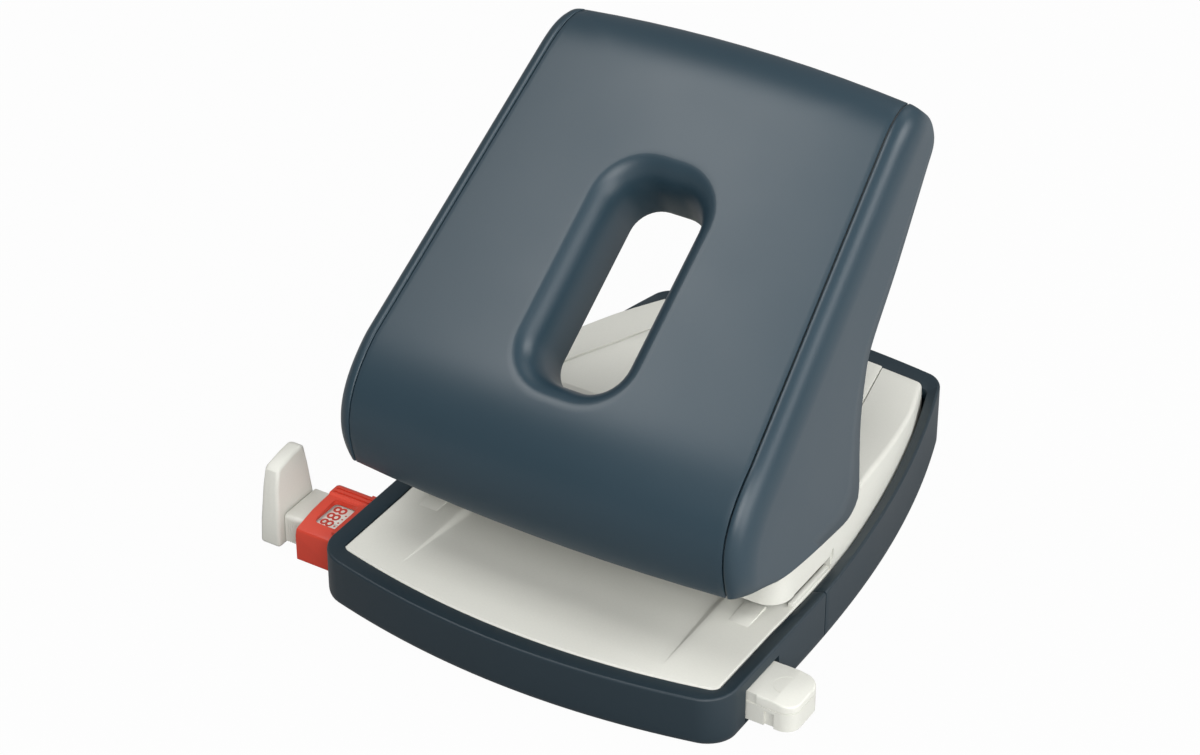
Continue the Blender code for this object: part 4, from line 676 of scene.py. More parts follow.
@dataclass
class BaseShells:
    """The two dark halves of the base: the front shell and the drawer for the chips."""

    plan: BasePlan
    floor_z: float = 0.0008
    floor: float = 0.0012
    foot_draft: float = 0.0016
    foot_side_share: float = 0.3
    rim_round: float = 0.0006
    rim_slope: float = 0.0009
    lip_round: float = 0.0003
    lip_depth: float = 0.0035
    wall: float = 0.0020
    table_low_z: float = 0.0108
    tongue_half_width: float = 0.0440
    tongue_front_y: float = 0.0170
    drawer_wall: float = 0.0015
    drawer_top_z: float = 0.0070
    rail_x: float = 0.0315
    rail_start_y: float = 0.0330
    rail_end_y: float = 0.0980
    bar_half: float = 0.0062
    bar_top_z: float = 0.0096
    collar: float = 0.0016
    posts: tuple = ((0.0300, -0.0114, 0.0075), (0.0360, 0.0120, 0.0087))
    post_radius: float = 0.0042
    foot_places: tuple = ((-0.0240, 0.0880), (0.0240, 0.0880))
    foot_radius: float = 0.0060
    foot_rise: float = 1.6
    screw_hole: float = 0.0018
    screw_head: tuple[float, float] = (0.0031, 0.0027)
    seat_depth_z: float = 0.0013
    pad_seat: tuple[float, float] = (0.0383, 0.0053)
    rail_half: float = 0.0006
    drawer_low: float = 0.0015
    split_chamfer: float = 0.00022
    touch: float = 1e-6

    def pan(self, name: str) -> Object:
        """The whole open pan, before it is split in two."""
        plan, rim = self.plan, self.plan.rim_at
        rings = []
        for share in spaced(0, 1, 7):
            inset = (1 - share) ** 3 * self.foot_draft
            side, height = inset * self.foot_side_share, self.foot_draft * self.foot_rise * share
            rings.append(plan.level(plan.outline(side, inset, side), self.floor_z + height))
        for inward, down in quarter(self.rim_round, 5):
            ring = plan.outline(inward, inward, inward)
            rings.append(plan.level(ring, lambda depth, down=down: rim(depth) - down))
        curve, part = self.lip_round, self.lip_round * 0.3
        for back, down in ((curve, 0), (part, part), (0, curve)):
            ring = plan.outline(lambda depth, back=back: plan.rim_side_at(depth) - back,
                                plan.rim_front - back, plan.rim_rear - back)
            rings.append(plan.level(ring, lambda depth, down=down: rim(depth) - self.rim_slope - down))
        lip = plan.outline(plan.rim_side_at, plan.rim_front, plan.rim_rear)
        wall = plan.outline(self.wall, self.wall, self.wall)
        rings.append(plan.level(lip, lambda depth: rim(depth) - self.lip_depth))
        rings.append(plan.level(wall, lambda depth: rim(depth) - self.lip_depth - self.wall / 2))
        rings.append(plan.level(wall, self.floor_z + self.floor))
        return stack(name, rings)

    def build(self) -> None:
        """Models both halves and puts them on their bodies."""
        place_piece(dress(self.front(), BASE_ABS), Body.BASE, Slot.DARK_PLASTIC, "front_shell")
        place_piece(dress(self.drawer(), BASE_ABS), Body.TRAY, Slot.DARK_PLASTIC, "chip_tray")

    def front(self) -> Object:
        """The front shell, with its posts, its screw holes and the openings for the guide bar."""
        wide, floor_top = self.plan.half_width + OVERRUN, self.floor_z + self.floor
        shell = self.pan("base_front_shell")
        split_at(shell, (0, self.plan.split_y - GAP / 2, 0), (0, 1, 0), keep_far=False)
        self.chamfer_split(shell, self.plan.split_y - GAP / 2)
        carve(shell, block("notch", (-self.tongue_half_width - GAP, self.tongue_front_y - GAP, -OVERRUN),
                           (self.tongue_half_width + GAP, self.plan.rear_y, floor_top + OVERRUN)))
        places = [(side.value * across, depth, top) for across, depth, top in self.posts for side in Side]
        carve(shell, *[post("post", self.post_radius, (across, depth, self.floor_z + self.floor / 2),
                            (across, depth, top)) for across, depth, top in places], joining=True)
        carve(shell, *[post("hole", self.screw_hole, (across, depth, -OVERRUN),
                            (across, depth, top + OVERRUN), 20) for across, depth, top in places])
        radius, head_top = self.screw_head
        carve(shell, *[post("head", radius, (across, depth, -OVERRUN), (across, depth, head_top), 24)
                       for across, depth, _ in places])
        inside, half = self.plan.half_width - self.wall - OVERRUN, self.bar_half + GAP * 2
        right = block("way", (inside, -half - GAP, floor_top), (wide, half + GAP, self.bar_top_z + GAP * 3))
        left = block("way", (-wide, -half - self.collar, floor_top),
                     (-inside, half + self.collar, self.bar_top_z + self.collar + GAP * 2))
        long, wide = self.pad_seat
        seat = block("seat", (-long, -wide, -OVERRUN), (long, wide, self.seat_depth_z))
        return carve(shell, right, left, seat)

    def drawer(self) -> Object:
        """The rear half, with its tongue under the dies, its rails and the seats of its feet."""
        start, floor_top = self.plan.split_y + GAP / 2, self.floor_z + self.floor
        tray = self.pan("base_chip_drawer")
        split_at(tray, (0, start, 0), (0, 1, 0), keep_far=True)
        self.chamfer_split(tray, start)
        across = self.plan.width_at(start) - self.wall / 2
        half, low = self.tongue_half_width, self.table_low_z - GAP - self.drawer_low
        wall, rail, top = self.drawer_wall, self.rail_half, self.drawer_top_z
        carve(tray, block("tongue", (-half, self.tongue_front_y, self.floor_z), (half, start + wall / 2, top)),
              block("front", (-across, start, self.floor_z), (across, start + wall, top)), joining=True)
        carve(tray, block("space", (-half + wall, self.tongue_front_y + wall, floor_top),
                          (half - wall, start + wall + OVERRUN, low)))
        rails = [side.value * self.rail_x for side in Side]
        carve(tray, *[block("rail", (place - rail, self.rail_start_y, floor_top - rail),
                            (place + rail, self.rail_end_y, low - GAP)) for place in rails], joining=True)
        radius, seat_top = self.foot_radius + GAP, self.seat_depth_z
        return carve(tray, *[post("seat", radius, (*place, -OVERRUN), (*place, seat_top))
                             for place in self.foot_places])

    def chamfer_split(self, shell: Object, depth: float) -> None:
        """Breaks the sharp edge where the two halves meet, so that the joint reads as a fine line."""
        middle = self.floor_z + self.floor / 2
        round_edges(shell, self.split_chamfer, 2, lambda first, second: (
            max(abs(first.y - depth), abs(second.y - depth)) < self.touch and min(first.z, second.z) > middle))


@dataclass
class PaperTable:
    """The light table that the sheets slide in on, with its shallow dip and two ramps."""

    plan: BasePlan
    thickness: float = 0.0017
    edge: float = 0.0004
    slot_end_y: float = 0.0370
    dip_half_width: float = 0.0335
    dip_start_y: float = -0.0103
    dip_end_y: float = 0.0125
    dip_depth: float = 0.0009
    dip_wall: float = 0.0022
    column_steps: tuple[int, int, int] = (14, 5, 12)
    row_steps: tuple[int, int, int] = (6, 18, 14)
    die_places: tuple = ((-0.0400, 0.0250), (0.0400, 0.0250))
    die_radius: float = 0.0050
    ramp_end_y: float = 0.0175
    ramp_width: float = 0.0050
    ramp_length: float = 0.0080
    ramp_height: float = 0.0005
    ramp_root: float = 0.0004
    ramp_lead: float = 0.00002
    ramp_edge: float = 0.0002

    def point(self, column: int, row: int) -> Point:
        """The table's top at a column and a row of the grid."""
        middle, wall, side = self.column_steps
        half = middle + wall + side + 2
        step, sign = abs(column - half), 1 if column >= half else -1
        first, second, third = self.row_steps
        border = row == 0 or step == half
        near = self.plan.front_at(self.dip_half_width) + self.plan.rim_front + GAP
        depth = self.along(max(row - 1, 0), near, (first, second, third))
        dip = clamp((depth - self.dip_start_y) / (self.dip_end_y - self.dip_start_y))
        width = self.plan.width_at(depth) - self.plan.rim_side_at(depth) - GAP
        inner = self.dip_half_width - self.dip_wall * dip - 0.0001
        if step <= middle:
            across, share = inner * step / middle, 1.0
        elif step <= middle + wall:
            share = (step - middle) / wall
            across, share = mix(inner, self.dip_half_width, share), 1 - smooth(share)
        elif step <= half - 2:
            across, share = mix(self.dip_half_width, width - self.edge, (step - middle - wall) / side), 0.0
        else:
            across, share = width - (self.edge * 0.3 if step == half - 1 else 0), 0.0
        height = self.plan.table_z - self.dip_depth * dip * share
        if step > half - 2:
            height -= self.edge * (0.3 if step == half - 1 else 1)
        if row <= 1 + first:
            edge_y = self.plan.front_at(across) + self.plan.rim_front + GAP
            depth = mix(edge_y + self.edge, self.dip_start_y, max(row - 1, 0) / first)
            if row == 0:
                depth, height = edge_y, min(height, self.plan.table_z - self.edge)
        return (sign * across, depth, height)

    def along(self, row: int, near: float, steps: tuple[int, int, int]) -> float:
        """The place along Y of a row of the grid."""
        places = (near, self.dip_start_y, self.dip_end_y, self.slot_end_y)
        for count, start, end in zip(steps, places, places[1:]):
            if row <= count:
                return mix(start, end, row / count)
            row -= count
        return self.slot_end_y

    def build(self) -> None:
        """Models the table and puts it on the base."""
        columns = 2 * (sum(self.column_steps) + 2)
        table = drape("paper_table_top", columns, sum(self.row_steps) + 1, self.point)
        thicken(table, self.thickness - self.edge)
        for across, depth in self.die_places:
            carve(table, post("die", self.die_radius + GAP, (across, depth, 0), (across, depth, 0.03), 48))
        place_piece(dress(table, LIGHT_ABS, 20), Body.BASE, Slot.LIGHT_PLASTIC, "paper_table")
        for side, (across, _) in zip(Side, self.die_places):
            self.ramp(side, across)

    def ramp(self, side: Side, across: float) -> None:
        """One of the two ramps that lift the sheets over a die's edge."""
        top, end = self.plan.table_z, self.ramp_end_y
        start, root = end - self.ramp_length, top - self.ramp_root
        outline = [(start, root), (end, root), (end, top + self.ramp_height), (start, top + self.ramp_lead)]
        ramp = plate(f"sheet_ramp_{side.name.lower()}", outline, across - self.ramp_width / 2,
                     across + self.ramp_width / 2, "YZ")
        round_edges(ramp, self.ramp_edge, 2, lambda first, second: min(first.z, second.z) > top)
        place_piece(dress(ramp, LIGHT_ABS), Body.BASE, Slot.LIGHT_PLASTIC)


@dataclass
class RearCover:
    """The light housing over the mechanism, the sloping cover behind it and its dished middle panel."""

    plan: BasePlan
    front_y: float = 0.0140
    front_corner: float = 0.0055
    rear_corner: float = 0.0012
    wall: float = 0.0018
    draft: float = 0.0004
    edge: float = 0.0011
    top_z: float = 0.0255
    rear_z: float = 0.0185
    rear_y: float = 0.1055
    slope: float = 0.145
    low_z: float = 0.0111
    slot_top_z: float = 0.0160
    slot_end_y: float = 0.0370
    well: tuple = (0.0450, 0.0164, 0.0400, 0.0200)
    panel_rear_half: float = 0.0241
    panel_flare: float = 0.26
    panel_front_y: float = 0.0520
    panel_thickness: float = 0.0016
    dip: float = 0.0048
    dip_edge_share: float = 0.06
    dip_start_y: float = 0.0780
    dip_end_y: float = 0.0850
    lip_start_y: float = 0.0205
    lip_inset: float = 0.0003
    lip_z: float = 0.0169
    rail_x: tuple[float, float] = (0.0461, 0.0473)
    rail_edge: float = 0.0002
    slit: tuple[float, float, float, float] = (0.0010, 0.0006, 0.0012, 0.0006)
    tool_top_z: float = 0.0335
    bend: float = 0.0012
    slices: int = 44
    slice_ends: tuple[float, float] = (0.0055, 0.003)
    strips: int = 8
    strip_end: float = 0.010
    bow_start_y: float = 0.09
    upright: float = 0.01
    panel_steps: tuple[int, int] = (28, 64)
    panel_edge: float = 0.00025

    def height_at(self, depth: float) -> float:
        """The height of the top: flat over the mechanism, then sloping to the rear rim, with a soft bend."""
        sloped = self.rear_z + self.slope * (self.rear_y - depth)
        gap, bend = self.top_z - sloped, self.bend
        if abs(gap) < bend:
            return self.top_z - (gap + bend) ** 2 / (4 * bend)
        return min(self.top_z, sloped)

    def width_at(self, depth: float) -> float:
        """Half the cover's width at a place along Y."""
        return self.plan.width_at(depth) - self.plan.rim_side_at(depth) - GAP

    def rear_at(self, across: float) -> float:
        """Where the cover's rear edge is at a place along X."""
        return self.plan.rear_at(across) - self.plan.rim_rear - GAP

    def panel_half_at(self, depth: float) -> float:
        """Half the width of the panel's opening at a place along Y."""
        return self.panel_rear_half + self.panel_flare * (self.rear_y - depth)

    def build(self) -> None:
        """Models the housing and the panel and puts them on the base."""
        place_piece(dress(self.housing(), LIGHT_ABS, 24), Body.BASE, Slot.LIGHT_PLASTIC, "mechanism_cover")
        place_piece(dress(self.panel(), LIGHT_ABS, 24), Body.BASE, Slot.LIGHT_PLASTIC, "centre_panel")
        for side in Side:
            place_piece(dress(self.rail(side), LIGHT_ABS), Body.BASE, Slot.LIGHT_PLASTIC)

    def shaped(self, name: str, inset: float, low: float, drop: float) -> Object:
        """A block with rounded corners, sliced and moved onto the cover's plan and heights.

        Args:
            name: The new object's name.
            inset: How far inside the cover's outer face.
            low: The height of its underside.
            drop: How far under the cover's top.

        Returns:
            The closed block.
        """
        widest, front = self.width_at(self.front_y) - inset, self.front_y + inset
        rear, high = self.rear_at(0) - inset, self.top_z - drop
        body = block(name, (-widest, front, low), (widest, rear, high))
        corners = ((self.front_corner - inset, 8, False), (self.rear_corner - inset * 0.5, 4, True))
        for radius, steps, behind in corners:
            round_edges(body, radius, steps, lambda a, b, behind=behind: (
                abs(a.z - b.z) > self.upright and (a.y > self.bow_start_y) == behind))
        with editing(body):
            for depth in spaced(front + self.slice_ends[0], rear - self.slice_ends[1], self.slices):
                bpy.ops.mesh.select_all(action="SELECT")
                bpy.ops.mesh.bisect(plane_co=(0, depth, 0), plane_no=(0, 1, 0))
            for across in spaced(-widest + self.strip_end, widest - self.strip_end, self.strips):
                bpy.ops.mesh.select_all(action="SELECT")
                bpy.ops.mesh.bisect(plane_co=(across, 0, 0), plane_no=(1, 0, 0))
        for point in body.data.vertices:
            across, depth, height = point.co
            up = 1.0 if height > (low + high) / 2 else 0.0
            across *= (self.width_at(depth) - inset - self.draft * up) / widest
            share = clamp((depth - self.bow_start_y) / (rear - self.bow_start_y))
            depth -= share * (self.rear_at(0) - self.rear_at(across))
            point.co = (across, depth, mix(low, self.height_at(depth) - drop, up))
        return body

    def housing(self) -> Object:
        """The housing and the cover in one shell, with its slot, its well and the panel's opening."""
        cover = self.shaped("mechanism_housing", 0, self.low_z, 0)
        with editing(cover):
            pick_faces(cover, lambda middle, normal: normal.z > 0.9)
            bpy.ops.mesh.region_to_loop()
            bpy.ops.mesh.bevel(offset=self.edge, segments=4, affect="EDGES", clamp_overlap=True)
        inside = self.shaped("inside", self.draft + self.wall, self.low_z - OVERRUN, self.wall)
        wide, behind = self.plan.half_width + OVERRUN, self.plan.rear_y + OVERRUN
        half, start, end, low = self.well
        carve(cover, inside, block("slot", (-wide, -OVERRUN, 0), (wide, self.slot_end_y, self.slot_top_z)),
              block("well", (-half, start, low), (half, end, self.tool_top_z)), self.panel_tool(behind))
        deep, near, far, up = self.slit
        for side in Side:
            across, rear = self.width_at(self.slot_end_y) - self.lip_inset, self.slot_end_y
            edge, out = side.value * across, side.value * wide
            carve(cover, block("lip", (min(edge, out), self.lip_start_y, self.slot_top_z - OVERRUN),
                               (max(edge, out), rear + GAP, self.lip_z)),
                  block("slit", (min(edge, out) - deep, rear + near, self.slot_top_z - deep),
                        (max(edge, out), rear + far, self.lip_z + up)))
        return cover

    def rail(self, side: Side) -> Object:
        """The light rail beside the table's rear corner, just inside the rim."""
        low, high = sorted((side.value * self.rail_x[0], side.value * self.rail_x[1]))
        rail = block(f"table_side_rail_{side.name.lower()}", (low, self.lip_start_y, self.plan.table_z - GAP),
                     (high, self.slot_end_y - GAP, self.plan.rim_front_z))
        return soften(rail, self.rail_edge, 2)

    def panel_tool(self, behind: float) -> Object:
        """The cutter for the panel's opening."""
        start, rear = self.panel_front_y, self.panel_half_at(behind)
        front = self.panel_half_at(start)
        outline = [(-front, start), (front, start), (rear, behind), (-rear, behind)]
        return plate("opening", outline, self.plan.table_z, self.tool_top_z)

    def sunk_at(self, depth: float) -> float:
        """How far the panel sinks at a place along Y."""
        return self.dip * smooth((self.dip_end_y - depth) / (self.dip_end_y - self.dip_start_y))

    def panel(self) -> Object:
        """The middle panel, flush at the rear and dished in front."""
        columns, rows = self.panel_steps

        def point(column: int, row: int) -> Point:
            share = 2 * column / columns - 1
            rear = self.rear_at(share * self.panel_rear_half)
            depth = mix(self.panel_front_y + GAP, rear, row / rows)
            sunk = self.sunk_at(depth) * mix(1, self.dip_edge_share, share * share)
            return (share * (self.panel_half_at(depth) - GAP), depth, self.height_at(depth) - sunk)

        panel = thicken(drape("rear_centre_panel", columns, rows, point), self.panel_thickness)
        return soften(panel, self.panel_edge, 2, 60)


@dataclass
class Lever:
    """The lever's hood: a top plate with a dished through hole, and two rolled cheeks."""

    front_y: float = -0.0103
    depth: float = 0.0880
    foot_z: float = 0.0332
    rise: float = 0.0755
    front_roll: tuple = ((0.031, 0.0), (-0.012, 0.151), (-0.004, 0.264), (0.157, 0.391))
    top_roll: tuple = ((0.844, 0.942), (0.9125, 0.996), (0.958, 1.003), (0.998, 0.983))
    foot_half_width: float = 0.0465
    top_half_width: float = 0.0404
    knee: float = 0.26
    skin: float = 0.0018
    crown: float = 0.0020
    seam_round: float = 0.00035
    dish_centre: float = 0.495
    hole_half_width: float = 0.0094
    hole_half_length: float = 0.0233
    hole_corner: float = 0.0068
    dish_half_width: float = 0.0152
    dish_half_length: float = 0.0299
    dish_corner: float = 0.0125
    dish_depth: float = 0.0150
    dish_profile: tuple = (
        (1.00, 0.0), (0.86, 0.016), (0.70, 0.055), (0.54, 0.118), (0.38, 0.210), (0.25, 0.330), (0.14, 0.490),
        (0.05, 0.740), (0.0, 1.0))
    places: tuple[int, int, int] = (18, 10, 10)
    plate_side: tuple[float, float] = (0.33, 0.72)
    rings: int = 26
    bulge: float = 0.0047
    foot_bulge: float = 0.50
    top_bulge: float = 0.20
    foot_share: float = 0.08
    top_share: float = 0.09
    roll: float = 0.0078
    roll_steps: int = 12
    profile_steps: int = 90
    edge_shares: tuple = (
        (0.145, -0.030), (0.230, -0.048), (0.325, -0.064), (0.440, -0.076), (0.545, -0.081), (0.592, -0.058),
        (0.606, -0.020), (0.610, 0.073), (0.620, 0.204), (0.645, 0.319), (0.682, 0.409), (0.818, 0.570),
        (0.985, 0.790), (1.030, 0.850), (1.038, 0.895), (1.032, 0.932), (1.012, 0.962))
    path: list = field(init=False)
    edge_path: list = field(init=False)

    def __post_init__(self) -> None:
        """Works out the seam's line and the cheeks' free edge once."""
        front = [bezier([self.at(point) for point in self.front_roll], share) for share in spaced(0, 1, 120)]
        top = [bezier([self.at(point) for point in self.top_roll], share) for share in spaced(0, 1, 60)]
        middle = [tuple(mix(front[-1][axis], top[0][axis], share) for axis in (0, 1))
                  for share in spaced(0, 1, 30)]
        self.path = measured(front + middle[1:-1] + top)
        self.edge_path = measured(eased([self.at(point) for point in self.edge_shares], 8))

    def at(self, shares: Point) -> tuple[float, float]:
        """A place on the side view, from shares of the lever's depth and rise."""
        return (self.front_y + shares[0] * self.depth, self.foot_z + shares[1] * self.rise)

    def half_width_at(self, share: float) -> float:
        """Half the plate's width, from seam to seam."""
        return mix(self.foot_half_width, self.top_half_width, max(0.0, share - self.knee) / (1 - self.knee))

    def plate_point(self, across: float, share: float, sunk: float = 0.0) -> Point:
        """A point of the top face.

        Args:
            across: Share of the half width.
            share: Share of the length from the foot.
            sunk: How far below the face.

        Returns:
            The point.
        """
        (back, height), (run, rise) = walk(self.path, share)
        lift = self.crown * (1 - across ** 2) - sunk
        return (across * (self.half_width_at(share) - GAP / 2), back - rise * lift, height + run * lift)

    def dish_ring(self, part: float) -> Flat:
        """A ring round the dish, as across and along; part 0 is the hole's edge and part 1 the dish's."""
        side, turn, end = self.places
        width = mix(self.hole_half_width, self.dish_half_width, part)
        length = mix(self.hole_half_length, self.dish_half_length, part)
        corner = mix(self.hole_corner, self.dish_corner, part)
        flat_x, flat_y = width - corner, length - corner
        ring = [(width, along) for along in spaced(-flat_y, flat_y, side)[:-1]]
        ring += arc((flat_x, flat_y), corner, 0, 0.25, turn)[:-1]
        ring += [(across, length) for across in spaced(flat_x, -flat_x, end)[:-1]]
        ring += arc((-flat_x, flat_y), corner, 0.25, 0.5, turn)[:-1]
        ring += [(-width, along) for along in spaced(flat_y, -flat_y, side)[:-1]]
        ring += arc((-flat_x, -flat_y), corner, 0.5, 0.75, turn)[:-1]
        ring += [(across, -length) for across in spaced(-flat_x, flat_x, end)[:-1]]
        return ring + arc((flat_x, -flat_y), corner, 0.75, 1, turn)[:-1]

    def plate_edge(self) -> Flat:
        """The plate's outer edge as shares across and along, in step with the dish's rings."""
        side, turn, end = self.places
        low, high = self.plate_side
        ring = [(1, share) for share in spaced(low, high, side)[:-1] + spaced(high, 1, turn)[:-1]]
        ring += [(across, 1) for across in spaced(1, -1, end)[:-1]]
        ring += [(-1, share) for share in spaced(1, high, turn)[:-1] + spaced(high, low, side)[:-1]]
        ring += [(-1, share) for share in spaced(low, 0, turn)[:-1]]
        ring += [(across, 0) for across in spaced(-1, 1, end)[:-1]]
        return ring + [(1, share) for share in spaced(0, low, turn)[:-1]]

    def build(self) -> None:
        """Models the plate and the cheeks and puts them on the lever."""
        place_piece(dress(self.top_plate(), LEVER_ENAMEL), Body.LEVER, Slot.DARK_PAINT, "lever_cover")
        for side in Side:
            cheek = dress(self.cheek(side), LEVER_ENAMEL, 50)
            place_piece(cheek, Body.LEVER, Slot.DARK_PAINT, f"lever_side_{side.name.lower()}")

    def top_plate(self) -> Object:
        """The top plate as rings from the hole's lower edge out to the seam, then given its wall."""
        length = path_length(self.path)
        rings = []
        for part, sunk in reversed(eased(self.dish_profile, 3)):
            ring, depth = [], self.dish_depth * sunk
            for across, along in self.dish_ring(part):
                share = self.dish_centre + along / length
                ring.append(self.plate_point(across / self.half_width_at(share), share, depth))
            rings.append(ring)
        lip = self.dish_ring(1)
        for step in range(1, self.rings + 1):
            part = step / self.rings
            ring = []
            for (across, along), (edge_across, edge_share) in zip(lip, self.plate_edge()):
                share = self.dish_centre + along / length
                across_share = mix(across / self.half_width_at(share), edge_across, part)
                ring.append(self.plate_point(across_share, mix(share, edge_share, part)))
            rings.append(ring)
        top = stack("lever_top_plate", rings, capped=False)
        if mean_normal_z(top) < 0:
            with editing(top):
                bpy.ops.mesh.select_all(action="SELECT")
                bpy.ops.mesh.flip_normals()
        thicken(top, self.skin)
        return soften(top, self.seam_round, 3, 60)

    def bulge_at(self, share: float) -> float:
        """How far a cheek stands out beyond its seam; it rounds off towards both ends."""
        foot, top = (self.foot_share - share) / self.foot_share, (share - 1 + self.top_share) / self.top_share
        least = self.foot_bulge if foot > top else self.top_bulge
        return self.bulge * mix(least, 1, (1 - max(0.0, foot, top) ** 2) ** 0.5)

    def cheek(self, side: Side) -> Object:
        """One cheek: closed sections that roll over from the seam and run down to the free edge."""
        rings = []
        for step in range(self.profile_steps + 1):
            share = (1 - cos(pi * step / self.profile_steps)) / 2
            (back, height), _ = walk(self.path, share)
            (edge_back, edge_height), _ = walk(self.edge_path, share)
            reach = hypot(edge_back - back, edge_height - height)
            roll = min(self.roll, reach * 0.8) / reach
            wall = min(self.skin, reach * 0.4) / reach
            crisp = min(self.seam_round, reach * 0.1)
            seam, bulge = self.half_width_at(share) + GAP / 2, self.bulge_at(share)
            outer = [(inward, down / reach) for inward, down in quarter(crisp, 3)]
            turns = spaced(0, pi / 2, self.roll_steps)[1:]
            outer += [(crisp + (bulge - crisp) * sin(turn), roll * (1 - cos(turn))) for turn in turns]
            outer += [(bulge, mix(roll, 1 - wall * 0.3, part)) for part in (0.2, 0.4, 0.6, 0.8, 1)]
            lip = [(bulge - self.skin * 0.15, 1 - wall * 0.08), (bulge - self.skin * 0.5, 1),
                   (bulge - self.skin * 0.85, 1 - wall * 0.08)]
            inner = [(bulge - self.skin, mix(1 - wall * 0.3, roll, part)) for part in (0, 0.25, 0.5, 0.75, 1)]
            inner += [((bulge - self.skin) * sin(turn), roll * (1 - cos(turn)) + wall * cos(turn))
                      for turn in reversed(spaced(0, pi / 2, self.roll_steps)[:-1])]
            rings.append([
                (side.value * (seam + out), mix(back, edge_back, part), mix(height, edge_height, part))
                for out, part in outer + lip + inner])
        return stack(f"lever_cheek_{side.name.lower()}", rings)


def measured(points: Sequence[Point]) -> list[tuple[float, Point]]:
    """A line's points, each with its distance from the start."""
    total, line = 0.0, [(0.0, points[0])]
    for first, second in zip(points, points[1:]):
        total += hypot(second[0] - first[0], second[1] - first[1])
        line.append((total, second))
    return line


def path_length(path: Sequence[tuple[float, Point]]) -> float:
    """The length of a measured line."""
    return path[-1][0]


def walk(path: Sequence[tuple[float, Point]], share: float) -> tuple[Point, Point]:
    """A place on a measured line.

    Args:
        path: The line.
        share: Share of its length from the start.

    Returns:
        The place and the line's direction there.
    """
    target = clamp(share) * path_length(path)
    low, high = 0, len(path) - 1
    while high - low > 1:
        middle = (low + high) // 2
        low, high = (middle, high) if path[middle][0] <= target else (low, middle)
    (start_at, start), (end_at, end) = path[low], path[high]
    part, length = (target - start_at) / (end_at - start_at), end_at - start_at
    place = (mix(start[0], end[0], part), mix(start[1], end[1], part))
    return place, ((end[0] - start[0]) / length, (end[1] - start[1]) / length)


def mean_normal_z(part: Object) -> float:
    """Which way a sheet faces on the whole."""
    return sum(face.normal.z * face.area for face in part.data.polygons)


